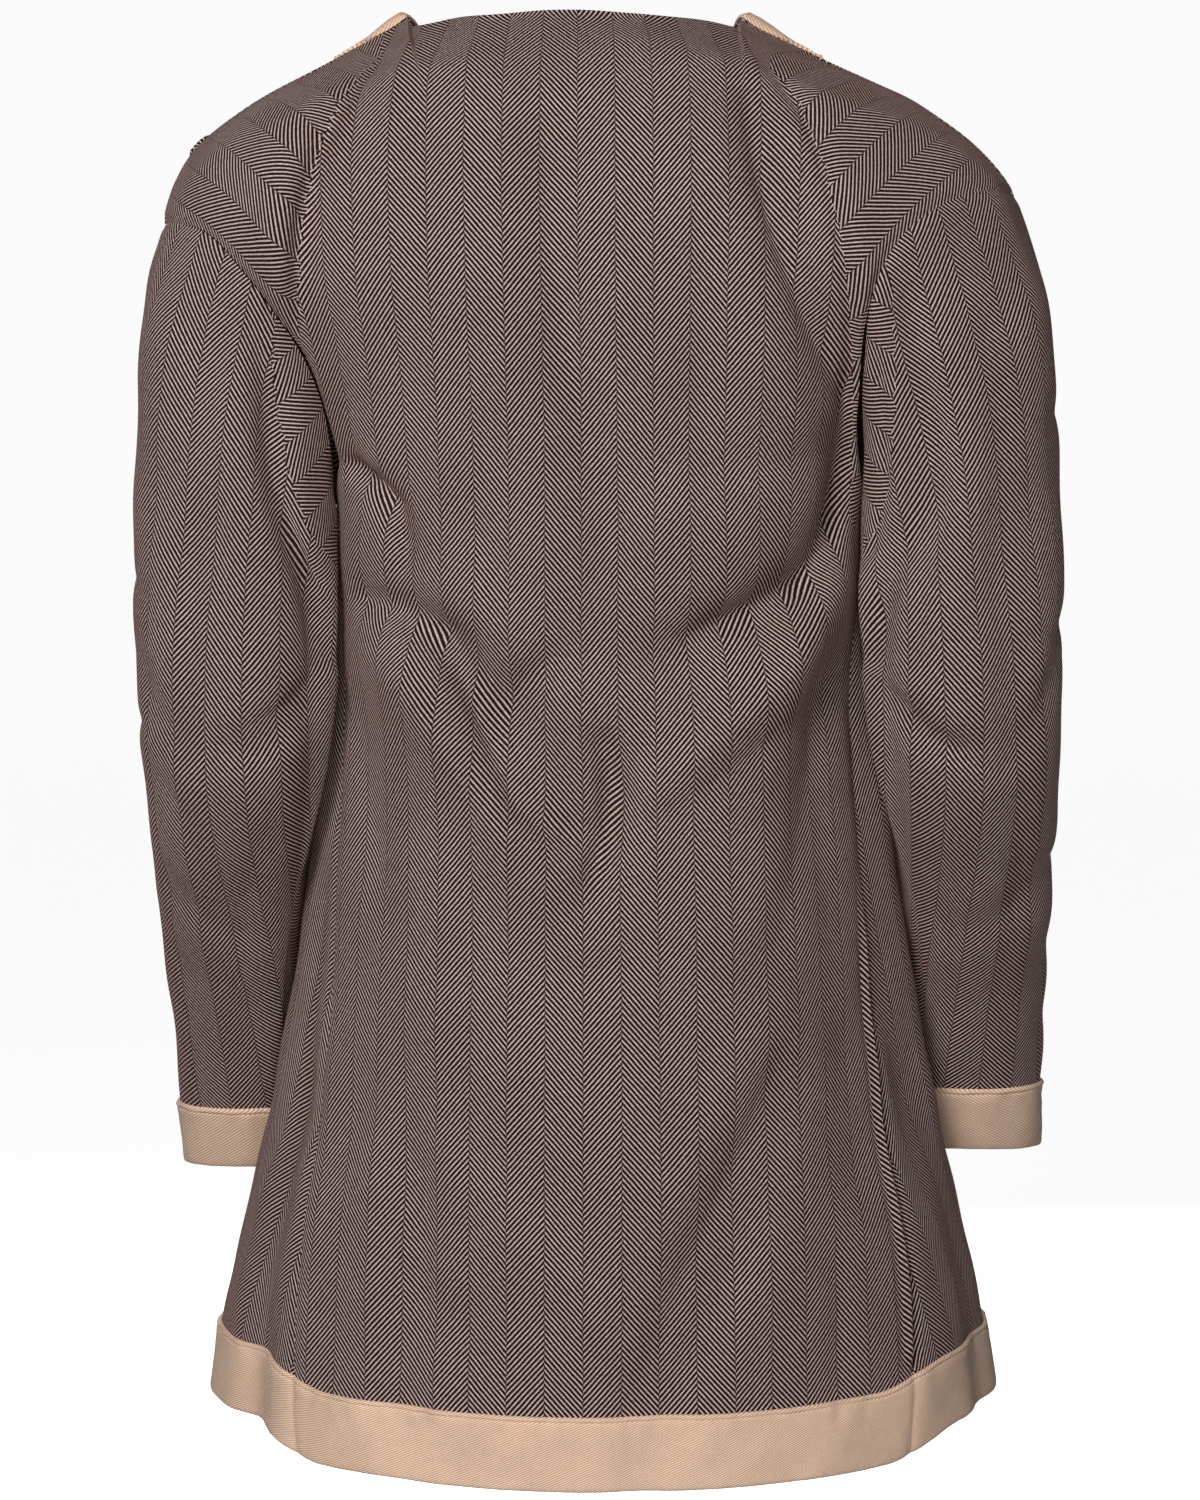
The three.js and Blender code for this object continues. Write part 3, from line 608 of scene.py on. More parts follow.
def softNoise(points, size, seed):
    # smooth even waves over the cloth, from a fixed seed
    rng = np.random.default_rng(seed)
    total = np.zeros(points.shape[:2])
    for _ in range(14):
        direction = rng.normal(size=3)
        direction /= np.linalg.norm(direction)
        wave = rng.uniform(0.7, 1.6) * 2 * np.pi / size
        total += np.sin(points @ direction * wave + rng.uniform(0, 2 * np.pi))
    return total / math.sqrt(14)


def shell(name, outer, inner, weave, material, tube=False, turned=None):
    # turned: a second lay of the weave, and the cells that it covers
    if tube:
        outer, inner = outer[:, :-1], inner[:, :-1]
    rows, columns = outer.shape[:2]
    last = columns if tube else columns - 1
    points = np.concatenate([outer.reshape(-1, 3), inner.reshape(-1, 3)]) * metre
    faces, corner = [], []

    def addFaces(places, inside):
        # places: row and column of each face's four corners; inside: which of them are on the inner wall
        around = np.stack([np.stack(np.broadcast_arrays(*place), -1) for place in places], 1)
        corner.append(around)
        faces.append(around[..., 0] * columns + around[..., 1] % columns + np.array(inside) * rows * columns)

    i, j = (grid.ravel() for grid in np.meshgrid(np.arange(rows - 1), np.arange(last), indexing="ij"))
    addFaces([(i, j), (i + 1, j), (i + 1, j + 1), (i, j + 1)], (0, 0, 0, 0))
    addFaces([(i, j), (i, j + 1), (i + 1, j + 1), (i + 1, j)], (1, 1, 1, 1))
    i, j = np.arange(rows - 1), np.arange(last)
    rims = [((0, j), (0, j + 1)), ((rows - 1, j + 1), (rows - 1, j))]
    if not tube:
        rims += [((i + 1, 0), (i, 0)), ((i, columns - 1), (i + 1, columns - 1))]
    for start, end in rims:
        addFaces([start, end, end, start], (0, 0, 1, 1))
    faces, corner = np.concatenate(faces), np.concatenate(corner)
    a, b, c, d = (points[faces[:, k]] for k in range(4))
    if (a * (np.cross(b, c) + np.cross(c, d))).sum() < 0:  # the shell's volume, with its faces inside out
        faces, corner = faces[:, ::-1], corner[:, ::-1]
    uv = weave[corner[..., 0], corner[..., 1]]
    if turned:
        laid, cells = turned
        low = np.minimum(corner.min(1), (rows - 2, last - 1))
        uv = np.where(cells[low[:, 0], low[:, 1]][:, None, None], laid[corner[..., 0], corner[..., 1]], uv)
    mesh = bpy.data.meshes.new(name)
    mesh.from_pydata(points.tolist(), [], faces.tolist())
    layer = mesh.uv_layers.new(name="weave")
    layer.data.foreach_set("uv", (uv * metre).reshape(-1).astype(np.float32))
    mesh.materials.append(material)
    mesh.shade_smooth()
    mesh.set_sharp_from_angle(angle=math.radians(55))
    return intoScene(name, mesh)


def arcLengths(points, axis):
    step = np.linalg.norm(np.diff(points, axis=axis), axis=2)
    pad = [(0, 0), (0, 0)]
    pad[axis] = (1, 0)
    return np.pad(np.cumsum(step, axis=axis), pad)


def flatMap(points, zeroColumn, zeroRow):
    # distances along the cloth from one column and one row
    across, down = arcLengths(points, 1), arcLengths(points, 0)
    across = across - across[:, zeroColumn][:, None]
    down = down - down[zeroRow][None, :]
    return np.stack([across, down], -1)


def netLines(at, count):
    # lines of a coarser net, evenly apart along the cloth, or all of them
    if not count:
        return np.arange(len(at))
    return np.unique(np.interp(np.linspace(0, at[-1], count), at, np.arange(len(at))).round()).astype(int)


def flatten(points, zeroColumn):
    # lays a curved panel flat, as its cut: a net of threads that keep their lengths
    rowAt, columnAt = arcLengths(points, 0).mean(1), arcLengths(points, 1).mean(0)
    laid = None
    for netRows, netColumns, turns in ((12, 9, 400), (24, 17, 300), (60, 45, 250), (0, 0, 50)):
        i, j = netLines(rowAt, netRows), netLines(columnAt, netColumns)
        net = points[np.ix_(i, j)]
        if laid is None:
            laid = flatMap(net, int(round(zeroColumn * (len(j) - 1))), len(i) - 1)
        else:
            laid = spread(laid, *was, rowAt[i], columnAt[j])
        laid = relax(net, laid, turns)
        was = (rowAt[i], columnAt[j])
    middle = int(np.abs(columnAt - zeroColumn * columnAt[-1]).argmin())
    laid = laid - laid[-1, middle]
    lean = laid[len(laid) // 2, middle] - laid[-1, middle]
    turn = math.atan2(lean[0], -lean[1])
    return turnWeave(laid, math.degrees(turn), (0, 0))


def turnWeave(laid, degrees, pivot):
    cos, sin = math.cos(math.radians(degrees)), math.sin(math.radians(degrees))
    x, y = laid[..., 0] - pivot[0], laid[..., 1] - pivot[1]
    return np.stack([pivot[0] + x * cos + y * sin, pivot[1] + y * cos - x * sin], -1)


def spread(laid, fromRows, fromColumns, toRows, toColumns):
    # the same sheet on a finer net
    out = np.empty((len(toRows), len(toColumns), 2))
    for k in (0, 1):
        wide = np.array([np.interp(toColumns, fromColumns, row) for row in laid[..., k]])
        out[..., k] = np.array([np.interp(toRows, fromRows, column) for column in wide.T]).T
    return out


def relax(net, laid, turns):
    pairs = [
        (np.s_[:, 1:], np.s_[:, :-1], 1.0),
        (np.s_[1:, :], np.s_[:-1, :], 1.0),
        (np.s_[1:, 1:], np.s_[:-1, :-1], 0.5),
        (np.s_[1:, :-1], np.s_[:-1, 1:], 0.5),
    ]
    rest = [np.linalg.norm(net[a] - net[b], axis=2) for a, b, _ in pairs]
    weight = np.zeros(laid.shape[:2])
    for a, b, stiff in pairs:
        weight[a] += stiff
        weight[b] += stiff
    for _ in range(turns):
        move = np.zeros_like(laid)
        for (a, b, stiff), length in zip(pairs, rest):
            gap = laid[a] - laid[b]
            now = np.linalg.norm(gap, axis=2) + 1e-9
            pull = gap * (stiff * 0.5 * (length - now) / now)[..., None]
            move[a] += pull
            move[b] -= pull
        laid = laid + 1.5 * move / weight[..., None]
    return laid


def fineEdges(count):
    # even lines, closer beside both edges
    cell = 1 / count
    near = np.array([0.15, 0.4, 0.7]) * cell
    return np.unique(np.concatenate([np.linspace(0, 1, count + 1), near, 1 - near]))


def startMaterial(name):
    material = bpy.data.materials.new(name)
    material.use_nodes = True
    tree = material.node_tree
    tree.nodes.clear()
    return material, tree


def wire(tree, socket, value):
    if isinstance(value, (int, float)):
        socket.default_value = value
    elif isinstance(value, tuple):
        socket.default_value = value if len(value) == 4 or socket.type == "VECTOR" else (*value, 1)
    else:
        tree.links.new(value, socket)


def maths(tree, operation, first, second=0.0, third=0.0, clamp=False):
    node = tree.nodes.new("ShaderNodeMath")
    node.operation = operation
    node.use_clamp = clamp
    for socket, value in zip(node.inputs, (first, second, third)):
        wire(tree, socket, value)
    return node.outputs[0]


def ramp(tree, value, low, high, start=0.0, end=1.0):
    node = tree.nodes.new("ShaderNodeMapRange")
    node.interpolation_type = "SMOOTHSTEP"
    given = {"Value": value, "From Min": low, "From Max": high, "To Min": start, "To Max": end}
    for name, number in given.items():
        wire(tree, node.inputs[name], number)
    return node.outputs["Result"]


def noise(tree, vector, scale, detail=2.0, roughness=0.5):
    node = tree.nodes.new("ShaderNodeTexNoise")
    wire(tree, node.inputs["Vector"], vector)
    for name, given in (("Scale", scale), ("Detail", detail), ("Roughness", roughness)):
        node.inputs[name].default_value = given
    return node.outputs["Fac"]


def mix(tree, share, first, second, blend="MIX"):
    node = tree.nodes.new("ShaderNodeMix")
    node.data_type = "RGBA"
    node.blend_type = blend
    wire(tree, node.inputs[0], share)
    wire(tree, node.inputs[6], first)
    wire(tree, node.inputs[7], second)
    return node.outputs[2]


def linear(red, green, blue):
    # a colour from its 0 to 255 values
    out = []
    for value in (red, green, blue):
        value /= 255
        out.append(value / 12.92 if value <= 0.04045 else ((value + 0.055) / 1.055) ** 2.4)
    return (*out, 1.0)


def weaveCoords(tree, wobble):
    # the cloth's own lengths in metres, a little uneven as woven cloth is
    uv = tree.nodes.new("ShaderNodeUVMap")
    uv.uv_map = "weave"
    uv = uv.outputs["UV"]
    split = tree.nodes.new("ShaderNodeSeparateXYZ")
    tree.links.new(uv, split.inputs[0])
    lengths = []
    for axis, scale in (("X", 28.0), ("Y", 45.0)):
        sway = maths(tree, "MULTIPLY", maths(tree, "SUBTRACT", noise(tree, uv, scale), 0.5), wobble)
        lengths.append(maths(tree, "ADD", split.outputs[axis], sway))
    return uv, *lengths


def evenWave(tree, turns):
    return maths(tree, "COSINE", maths(tree, "MULTIPLY", turns, 2 * math.pi))


def shaded(tree, colour, value):
    grey = tree.nodes.new("ShaderNodeCombineColor")
    for socket in grey.inputs:
        wire(tree, socket, value)
    return mix(tree, 1.0, colour, grey.outputs[0], "MULTIPLY")


def finish(tree, inputs, height=None, relief=0.0):
    shader = tree.nodes.new("ShaderNodeBsdfPrincipled")
    for name, value in inputs.items():
        wire(tree, shader.inputs[name], value)
    if height is not None:
        bump = tree.nodes.new("ShaderNodeBump")
        bump.inputs["Strength"].default_value = 0.8
        bump.inputs["Distance"].default_value = relief
        wire(tree, bump.inputs["Height"], height)
        tree.links.new(bump.outputs["Normal"], shader.inputs["Normal"])
    output = tree.nodes.new("ShaderNodeOutputMaterial")
    tree.links.new(shader.outputs[0], output.inputs["Surface"])


woolCloth = {
    "stripe": 0.0218,  # width of one run of wales
    "start": 0.0144,  # where the runs begin, from the spine
    "pitch": 0.00355,  # from wale to wale, straight down
    "steep": 1.17,
    "dark": linear(34, 14, 9),
    "light": linear(203, 184, 180),
    "warm": linear(120, 84, 66),
    "sheen": 0.25,
    "sheenTint": linear(140, 76, 54),
    "relief": 0.00022,
    "wobble": 0.0011,
    "yarn": 1500.0,  # how fine each unevenness is
    "fleck": 420.0,
    "stain": 260.0,
    "cloud": 14.0,
}


def makeWool():
    look = woolCloth
    material, tree = startMaterial("woolHerringbone")
    uv, across, down = weaveCoords(tree, look["wobble"])
    shifted = maths(tree, "ADD", across, look["start"])
    zigzag = maths(tree, "PINGPONG", shifted, look["stripe"])
    run = maths(tree, "FLOOR", maths(tree, "DIVIDE", shifted, look["stripe"]))
    half = maths(tree, "MULTIPLY", maths(tree, "PINGPONG", run, 1.0), 0.5)
    slanted = maths(tree, "SUBTRACT", down, maths(tree, "MULTIPLY", zigzag, look["steep"]))
    phase = maths(tree, "ADD", maths(tree, "DIVIDE", slanted, look["pitch"]), half)
    wave = evenWave(tree, phase)
    yarn = noise(tree, uv, look["yarn"], 2.0, 0.6)
    fleck = noise(tree, uv, look["fleck"], 3.0, 0.65)
    uneven = maths(tree, "MULTIPLY", maths(tree, "SUBTRACT", fleck, 0.5), 1.1)
    lightYarn = ramp(tree, maths(tree, "ADD", wave, uneven), 0.0, 0.94)
    edge = maths(tree, "PINGPONG", shifted, look["stripe"] / 2)
    broken = ramp(tree, edge, 0.0001, 0.0006, 0.45, 1.0)
    lightYarn = maths(tree, "MULTIPLY", lightYarn, broken)
    colour = mix(tree, lightYarn, look["dark"], look["light"])
    shade = ramp(tree, yarn, 0.3, 0.7, 0.74, 1.2)
    cloud = ramp(tree, noise(tree, uv, look["cloud"], 3.0), 0.25, 0.75, 0.93, 1.06)
    colour = shaded(tree, colour, maths(tree, "MULTIPLY", shade, cloud))
    tint = ramp(tree, noise(tree, uv, look["stain"], 2.0), 0.55, 0.8, 0.0, 0.2)
    colour = mix(tree, tint, colour, look["warm"])
    height = maths(tree, "ADD", maths(tree, "MULTIPLY", wave, 0.5), maths(tree, "MULTIPLY", yarn, 0.9))
    finish(tree, {
        "Sheen Weight": look["sheen"],
        "Sheen Tint": look["sheenTint"],
        "Sheen Roughness": 0.55,
        "Specular IOR Level": 0.12,
        "Base Color": colour,
        "Roughness": ramp(tree, yarn, 0.3, 0.7, 0.84, 0.97),
    }, height, look["relief"])
    return material


linenCloth = {
    "pitch": 0.00195,  # from line to line, straight down
    "steep": 0.65,
    "dark": linear(200, 156, 124),
    "light": linear(252, 221, 196),
    "relief": 0.00016,
    "wobble": 0.0006,
    "yarn": 1300.0,
    "slub": 160.0,
    "cloud": 22.0,
}


def makeLinen():
    look = linenCloth
    material, tree = startMaterial("linenTwill")
    uv, across, down = weaveCoords(tree, look["wobble"])
    slanted = maths(tree, "ADD", down, maths(tree, "MULTIPLY", across, look["steep"]))
    wave = evenWave(tree, maths(tree, "DIVIDE", slanted, look["pitch"]))
    yarn = noise(tree, uv, look["yarn"], 3.0, 0.6)
    slub = noise(tree, uv, look["slub"], 3.0, 0.6)
    both = maths(tree, "ADD", maths(tree, "MULTIPLY", wave, 0.55), maths(tree, "MULTIPLY", yarn, 1.0))
    colour = mix(tree, ramp(tree, both, -0.15, 1.0), look["dark"], look["light"])
    cloud = maths(tree, "ADD", noise(tree, uv, look["cloud"], 2.0), maths(tree, "MULTIPLY", slub, 0.5))
    colour = shaded(tree, colour, ramp(tree, cloud, 0.45, 1.0, 0.9, 1.05))
    finish(tree, {
        "Sheen Weight": 0.08,
        "Sheen Roughness": 0.5,
        "Specular IOR Level": 0.15,
        "Base Color": colour,
        "Roughness": ramp(tree, yarn, 0.3, 0.7, 0.8, 0.95),
    }, both, look["relief"])
    return material


def makeThread():
    material, tree = startMaterial("linenThread")
    place = tree.nodes.new("ShaderNodeTexCoord")
    ply = noise(tree, place.outputs["Object"], 2600.0, 2.0)
    finish(tree, {
        "Specular IOR Level": 0.25,
        "Base Color": mix(tree, ply, linear(190, 156, 132), linear(232, 204, 182)),
        "Roughness": ramp(tree, ply, 0.3, 0.7, 0.6, 0.85),
    }, ply, 0.00005)
    return material


wool, linen, thread = makeWool(), makeLinen(), makeThread()
print("materials made")


woolHang = {
    "seamDip": 1.3,
    "seamReach": 4.0,
    "ripple": 0.8,
    "rippleSize": 62.0,
    "flankDrop": {1: 9.0, -1: 14.0},  # the hollow down the back of each side of the skirt
    "flankRun": (-315, -420, -640, -770),  # its heights
    "flankAcross": (0.04, 0.36, 0.62, 0.9),  # its place from where the side is widest to the back
}


def seamDip(distance):
    return woolHang["seamDip"] * hill(distance, woolHang["seamReach"])


def onGrid(surface, us, vs):
    u, v = np.meshgrid(us, vs)
    return surface(u.ravel(), v.ravel()).reshape(len(vs), len(us), 3), u, v


def ripple(points):
    # the same waves for every piece, so that neighbours meet at their seams
    return woolHang["ripple"] * softNoise(points, woolHang["rippleSize"], 3)


def rollShare(z):
    return between(backPiece["rollRun"], z)


def flankHollow(points):
    # a hollow down the back of each side, none where the side is widest
    z = points[..., 2]
    drop = np.where(points[..., 0] > 0, woolHang["flankDrop"][1], woolHang["flankDrop"][-1])
    middle = torsoAt("side", z)
    toBack = (points[..., 1] - middle) / (torsoAt("back", z) - middle)
    return drop * between(woolHang["flankRun"], z) * between(woolHang["flankAcross"], toBack)


def besideSeam(points, fromLeft=True):
    across = arcLengths(points, 1)
    return across if fromLeft else across[:, -1:] - across


def backForm(half, vs):
    plain, u, v = onGrid(backSurface, np.concatenate([-half[::-1], half[1:]]), vs)
    look = backPiece
    depth = foldDepth(look["creases"], plain[..., 0], plain[..., 2], 1.5)
    depth *= smooth(0, 0.03, v) * (1 - 0.75 * smooth(0.9, 1, np.abs(u)))
    depth += ripple(plain) + flankHollow(plain)
    toRight, rolled = besideSeam(plain), rollShare(plain[..., 2])
    depth += seamDip(toRight) * (1 - rolled) + seamDip(besideSeam(plain, False))
    depth -= look["roll"] * rolled * hill(toRight - look["rollAt"], look["rollWidth"])
    place, width, deep = look["groove"]
    depth += deep * rolled * hill(toRight - place, width)
    return sunk(plain, 1, depth), plain


def frontForm(side, us, vs):
    plain, u, v = onGrid(lambda u, v: frontSurface(side, u, v), us, vs)
    depth = foldDepth(frontPiece["creases"][side], np.abs(plain[..., 0]), plain[..., 2], 1.5)
    depth *= smooth(0, 0.03, v) * (1 - 0.75 * smooth(0.86, 1, u)) * smooth(0.16, 0.34, u)
    depth += ripple(plain) * smooth(0.0, 0.3, u)
    if us[-1] > 0.99:
        depth += seamDip(besideSeam(plain, False))
    return sunk(plain, -side, depth), plain


def goreForm(side, us, vs):
    plain, u, v = onGrid(lambda u, v: goreSurface(side, u, v), us, vs)
    z = plain[..., 2]
    toBack = besideSeam(plain)
    depth = ripple(plain) + flankHollow(plain)
    depth += seamDip(toBack) + seamDip(besideSeam(plain, False))
    if side > 0:
        height, reach, full = gorePiece["armpit"]
        depth -= full * hill(z - height, reach) * smooth(0, 0.02, v)
    else:
        depth += gorePiece["dip"] * rollShare(z) * hill(toBack, gorePiece["dipReach"])
    return sunk(plain, side, depth), plain


def sleeveForms(side, around, vs):
    plain, a, v = onGrid(lambda a, v: sleeveSurface(side, a, v), around, vs)
    creases = sleevePiece["creases"][side]
    depth = sum(sleeveFolds(creases, a + turn, v, 1.5) for turn in (0, 1))
    depth *= smooth(0.005, 0.05, v)
    depth += ripple(plain) * (1 - 0.6 * hill(np.mod(a, 1) - 0.5, 0.12))
    if vs[0] == 0:
        depth += seamDip(arcLengths(plain, 0))
    points = sunk(plain, -side, depth, tube=True)
    points[:, -1] = points[:, 0]
    return points, plain


def beyondCrease(side, crease, points):
    # cells of the shoulder cap, on the arm's side of its deep crease
    creaseX, creaseZ = curveAt(crease, 39)
    middle = (points[1:, 1:] + points[:-1, :-1]) / 2
    line = np.interp(-middle[..., 2], -creaseZ, creaseX)
    return (side * middle[..., 0] > side * line) & (middle[..., 2] > crease[5] - backPiece["capReach"])


def nearestPlace(points, x, z):
    far = np.hypot(points[..., 0] - x, points[..., 2] - z)
    return np.unravel_index(far.argmin(), far.shape)


def wall(name, points, outward, weave, tube=False, turned=None):
    inner = points - normalsOf(points, outward, tube) * cut["cloth"]
    return shell(name, points, inner, weave, wool, tube, turned), weave


def sided(side, name):
    return ("left" if side > 0 else "right") + name


def backCloth():
    across, down = backPiece["cells"]
    points, plain = backForm(fineEdges(across // 2), fineEdges(down))
    weave = flatten(plain, 0.5)
    wide, less = backPiece["draw"]
    weave[..., 0] *= wide - less * smooth(-120, -700, points[..., 2])
    turnedWeave, cells = weave.copy(), np.zeros(np.array(points.shape[:2]) - 1, dtype=bool)
    for side, crease in ((1, backPiece["creases"][0]), (-1, backPiece["creases"][1])):
        cells |= beyondCrease(side, crease, points)
        pivot = weave[nearestPlace(points, crease[0], crease[1])]
        onSide = side * points[..., 0] > 0
        turnedWeave[onSide] = turnWeave(weave, backPiece["capTurn"][side], pivot)[onSide]
    return wall("backCloth", points, 1, weave, turned=(turnedWeave, cells))


def panelCloth(side, name, cells, form, middle, outward):
    points, plain = form(side, fineEdges(cells[0]), fineEdges(cells[1]))
    return wall(sided(side, name), points, outward, flatten(plain, middle))


def frontCloth(side):
    return panelCloth(side, "FrontCloth", frontPiece["cells"], frontForm, 0.0, -side)


def goreCloth(side):
    return panelCloth(side, "GoreCloth", gorePiece["cells"], goreForm, 0.5, side)


def sleeveCloth(side):
    around, down = sleevePiece["cells"]
    edges, vs = np.linspace(-0.5, 0.5, around + 1), fineEdges(down)
    points, plain = sleeveForms(side, edges, vs)
    weave = flatten(plain, 0.5) * np.array([side, 1.0])
    first, last, top, end, degrees = sleevePiece["turn"][side]
    a, v = np.meshgrid((edges[1:] + edges[:-1]) / 2, (vs[1:] + vs[:-1]) / 2)
    lowest = lerp(first, last, np.clip((v - top) / (end - top), 0, 1) ** 1.4)
    cells = (a > lowest) & (a < last) & (v < end)
    turnedWeave = turnWeave(weave, degrees, weave[0, int(np.abs(edges - first).argmin())])
    return wall(sided(side, "SleeveCloth"), points, -side, weave, True, (turnedWeave, cells))


def declare(piece, node):
    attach(piece, "root")
    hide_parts(node)


woolBack, laidBack = backCloth()
declare(woolBack, "back_panel")
for side, word in ((1, "left"), (-1, "right")):
    for make, node in ((frontCloth, "front"), (goreCloth, "gore"), (sleeveCloth, "sleeve")):
        piece, laid = make(side)
        declare(piece, f"{node}_{word}")
print("wool pieces made")


bands = {
    "columns": 300,  # half of the hem's
    "stitchInset": 3.0,
    "pucker": 0.35,
    "puckerSize": 13.0,
    "puckerReach": 8,
    "cuffEase": 1.13,  # the cuff's own length against the sleeve's
}
# distance in from a band's sewn edge, and how far its face stands out there
bandFace = [
    (0, 1.0), (0.7, 1.9), (1.5, 2.3), (2.3, 2.05), (3.0, 1.5), (3.7, 2.0), (5, 2.2), (9, 2.15), (15, 2.15),
    (21, 2.15), (27, 2.15), (33, 2.15), (38, 2.2), (41, 2.2), (42.6, 2.0), (43.5, 1.6), (44, 1.0),
]


def bandRows(width):
    # the same places on a band of another width
    full = bandFace[-1][0]
    rows = [(inset if inset < full / 2 else width - (full - inset), out) for inset, out in bandFace]
    return np.array([row for k, row in enumerate(rows) if k == 0 or row[0] > rows[k - 1][0] + 0.2]).T


def bandShell(name, base, outward, insets, outs, axis, seed, tube=False):
    # base: the cloth's points under the band; axis: the grid's axis that runs across the band
    normal = normalsOf(base, outward, tube)
    stitched = int(np.abs(insets - bands["stitchInset"]).argmin())
    shape = (-1, 1) if axis == 0 else (1, -1)
    near = hill(insets.reshape(shape) - bands["stitchInset"], bands["puckerReach"])
    pucker = bands["pucker"] * softNoise(base, bands["puckerSize"], seed) * (0.35 + near)
    face = base + normal * (outs.reshape(shape) + pucker)[..., None]
    weave = flatMap(base, 0, 0)
    piece = shell(name, face, base + normal * cut["bandAbove"], weave, linen, tube)
    return piece, face[stitched] if axis == 0 else face[:, stitched], weave


def hemBand():
    insets, outs = bandRows(cut["hemBand"])
    vs = hemRise + (1 - hemRise) * insets / cut["hemBand"]
    rise = (rowHeight(vs) - cut["underarm"]) / (cut["hem"] - cut["underarm"])
    front, side = fineEdges(bands["columns"] // 5), fineEdges(bands["columns"] // 4)
    parts = [frontForm(1, front, vs)[0], goreForm(1, side, rise)[0][:, -2::-1],
             backForm(side, vs)[0][:, -2::-1],
             goreForm(-1, side, rise)[0][:, 1:], frontForm(-1, front, vs)[0][:, -2::-1]]
    return bandShell("hemBand", np.concatenate(parts, 1), -1, insets, outs, 0, 31)


def cuffBand(side):
    rise = cut["cuffRise"][side]
    width = (1 - rise) * sleevePiece["length"] * bands["cuffEase"]
    insets, outs = bandRows(width)
    base, _ = sleeveForms(side, np.linspace(-0.5, 0.5, 121), rise + (1 - rise) * insets / width)
    return bandShell(sided(side, "CuffBand"), base, -side, insets, outs, 0, 41 + side, tube=True)


def frontBand(side):
    insets, outs = bandRows(cut["frontBand"])[:, ::-1]
    us = cut["bandColumns"] * (1 - insets / cut["frontBand"])
    base, _ = frontForm(side, us, np.linspace(0, hemRise - 0.001, 260))
    return bandShell(sided(side, "FrontBand"), base, -side, insets, outs, 1, 51 + side)


stitches = {"Pitch": 0.0032, "Length": 0.0023, "Thickness": 0.00055}


def stitchTree():
    # threads short capsules along a path
    tree = bpy.data.node_groups.new("topstitch", "GeometryNodeTree")
    kinds = {"Path": "Geometry", **dict.fromkeys(stitches, "Float"), "Thread": "Material"}
    for name, kind in kinds.items():
        tree.interface.new_socket(name, in_out="INPUT", socket_type="NodeSocket" + kind)
    tree.interface.new_socket("Stitches", in_out="OUTPUT", socket_type="NodeSocketGeometry")
    add = tree.nodes.new
    given, made = add("NodeGroupInput"), add("NodeGroupOutput")
    curve, points = add("GeometryNodeMeshToCurve"), add("GeometryNodeResampleCurve")
    points.mode = "LENGTH"
    bead = add("GeometryNodeMeshUVSphere")
    for name, value in (("Segments", 6), ("Rings", 5), ("Radius", 0.5)):
        bead.inputs[name].default_value = value
    tangent, turn = add("GeometryNodeInputTangent"), add("FunctionNodeAlignRotationToVector")
    turn.axis = "X"
    place, size = add("GeometryNodeInstanceOnPoints"), add("ShaderNodeCombineXYZ")
    real, paint = add("GeometryNodeRealizeInstances"), add("GeometryNodeSetMaterial")
    for a, b in (
        (given.outputs["Path"], curve.inputs[0]),
        (curve.outputs[0], points.inputs["Curve"]),
        (given.outputs["Pitch"], points.inputs["Length"]),
        (points.outputs[0], place.inputs["Points"]),
        (bead.outputs["Mesh"], place.inputs["Instance"]),
        (tangent.outputs[0], turn.inputs["Vector"]),
        (turn.outputs[0], place.inputs["Rotation"]),
        (given.outputs["Length"], size.inputs[0]),
        (given.outputs["Thickness"], size.inputs[1]),
        (given.outputs["Thickness"], size.inputs[2]),
        (size.outputs[0], place.inputs["Scale"]),
        (place.outputs[0], real.inputs[0]),
        (real.outputs[0], paint.inputs["Geometry"]),
        (given.outputs["Thread"], paint.inputs["Material"]),
        (paint.outputs[0], made.inputs[0]),
    ):
        tree.links.new(a, b)
    return tree


topstitch = stitchTree()


def sew(name, line):
    path = bpy.data.meshes.new(name + "Path")
    path.from_pydata((line * metre).tolist(), [(k, k + 1) for k in range(len(line) - 1)], [])
    guide = intoScene(name + "Path", path)
    modifier = guide.modifiers.new("topstitch", "NODES")
    modifier.node_group = topstitch
    given = {**stitches, "Thread": thread}
    for item in topstitch.interface.items_tree:
        if item.name in given:
            modifier[item.identifier] = given[item.name]
    bpy.context.view_layer.update()
    shape = bpy.data.meshes.new_from_object(guide.evaluated_get(bpy.context.evaluated_depsgraph_get()))
    bpy.data.objects.remove(guide)
    shape.name = name
    shape.shade_smooth()
    return intoScene(name, shape)


def trim(made, node):
    band, line, laid = made
    sewn = sew(band.name + "Stitches", line)
    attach(sewn, "root")
    declare(band, node)


trim(hemBand(), "hem_band")
for side, word in ((1, "left"), (-1, "right")):
    trim(cuffBand(side), f"cuff_band_{word}")
    trim(frontBand(side), f"front_band_{word}")
print("bands and stitches made")


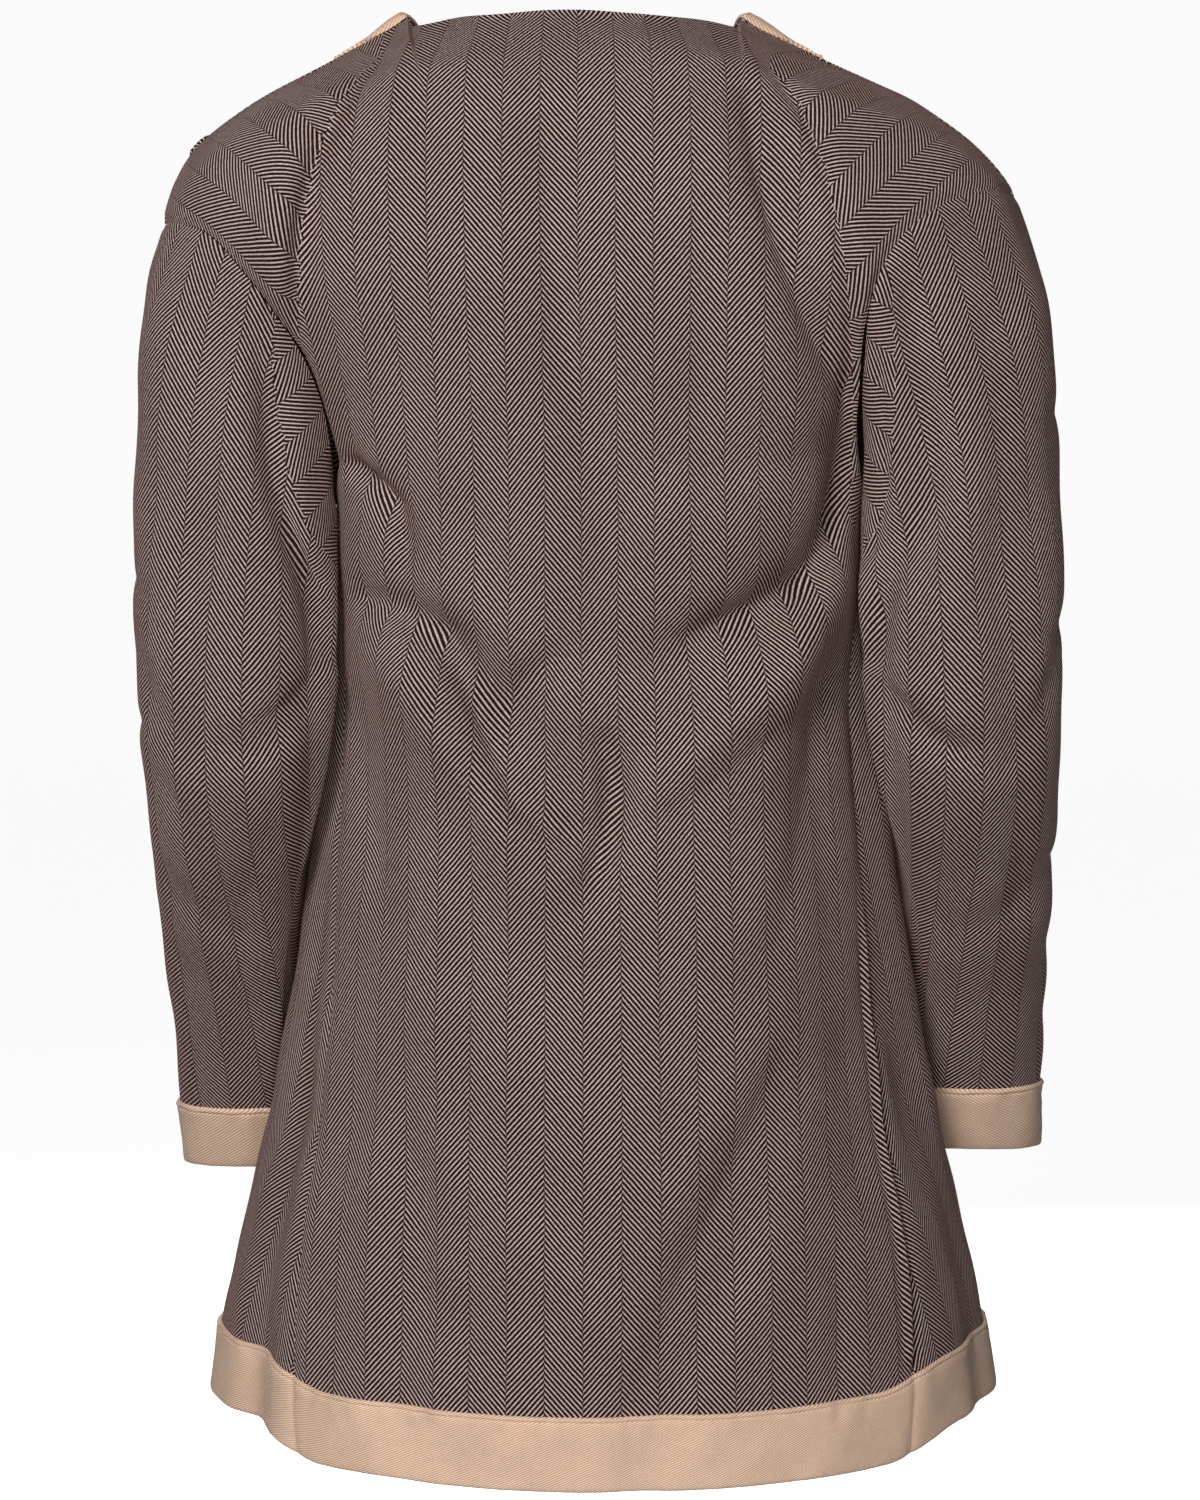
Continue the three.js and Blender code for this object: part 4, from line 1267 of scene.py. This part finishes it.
studio = {
    "world": 0.035,
    "lights": [  # name, power, size, place, aim
        ("key", 62.0, 0.8, (0.75, 2.5, 1.0), (0, 0, -0.4)),
        ("fill", 0.5, 1.2, (-2.2, 1.5, 0.4), (0, 0, -0.4)),
        ("face", 25.0, 1.2, (0.0, 2.8, -0.9), (0, 0, -0.6)),
        ("front", 52.0, 1.6, (0.2, -2.8, 0.3), (0, 0, -0.4)),
    ],
    "floorDrop": -1.5,
    "floorGlow": 0.9,
    "floorRise": [(0, 0), (6, 0), (8, 0.05), (9.5, 0.4), (10.6, 1.4), (11, 3.2), (11, 7)],
    "floorTurns": 64,
}


def setStudio():
    world = bpy.data.worlds.new("studio")
    bpy.context.scene.world = world
    world.use_nodes = True
    background = world.node_tree.nodes["Background"]
    background.inputs["Color"].default_value = (1, 1, 1, 1)
    background.inputs["Strength"].default_value = studio["world"]
    for name, power, size, place, aim in studio["lights"]:
        data = bpy.data.lights.new(name, "AREA")
        data.shape = "SQUARE"
        data.size = size
        data.energy = power
        lamp = intoScene(name, data)
        lamp.location = place
        lamp.rotation_euler = (Vector(aim) - Vector(place)).to_track_quat("-Z", "Y").to_euler()
    bpy.context.scene.view_settings.view_transform = "Standard"


def makeFloor():
    # a wide round floor that turns up far outside every view
    profile, turns, drop = studio["floorRise"], studio["floorTurns"], studio["floorDrop"]
    vertices, faces = [(0, 0, drop)], []
    for radius, height in profile[1:]:
        for angle in (2 * math.pi * k / turns for k in range(turns)):
            vertices.append((radius * math.cos(angle), radius * math.sin(angle), height + drop))
    for k in range(turns):
        faces.append((0, 1 + k, 1 + (k + 1) % turns))
        for ring in range(len(profile) - 2):
            a, b = 1 + ring * turns + k, 1 + ring * turns + (k + 1) % turns
            faces.append((a, a + turns, b + turns, b))
    mesh = bpy.data.meshes.new("floor")
    mesh.from_pydata(vertices, [], faces)
    mesh.shade_smooth()
    material, tree = startMaterial("floorPaint")
    place = tree.nodes.new("ShaderNodeTexCoord")
    pale = noise(tree, place.outputs["Object"], 2.0)
    finish(tree, {
        "Specular IOR Level": 0.0,
        "Base Color": mix(tree, pale, (0.86, 0.86, 0.86, 1), (0.9, 0.9, 0.9, 1)),
        "Emission Color": (1, 1, 1, 1),
        "Emission Strength": studio["floorGlow"],
    })
    mesh.materials.append(material)
    floor = intoScene("floor", mesh)
    floor.visible_diffuse = False  # a pale sweep that doesn't wash out the cloth's shade


setStudio()
makeFloor()
print("studio set")

bpy.context.view_layer.update()
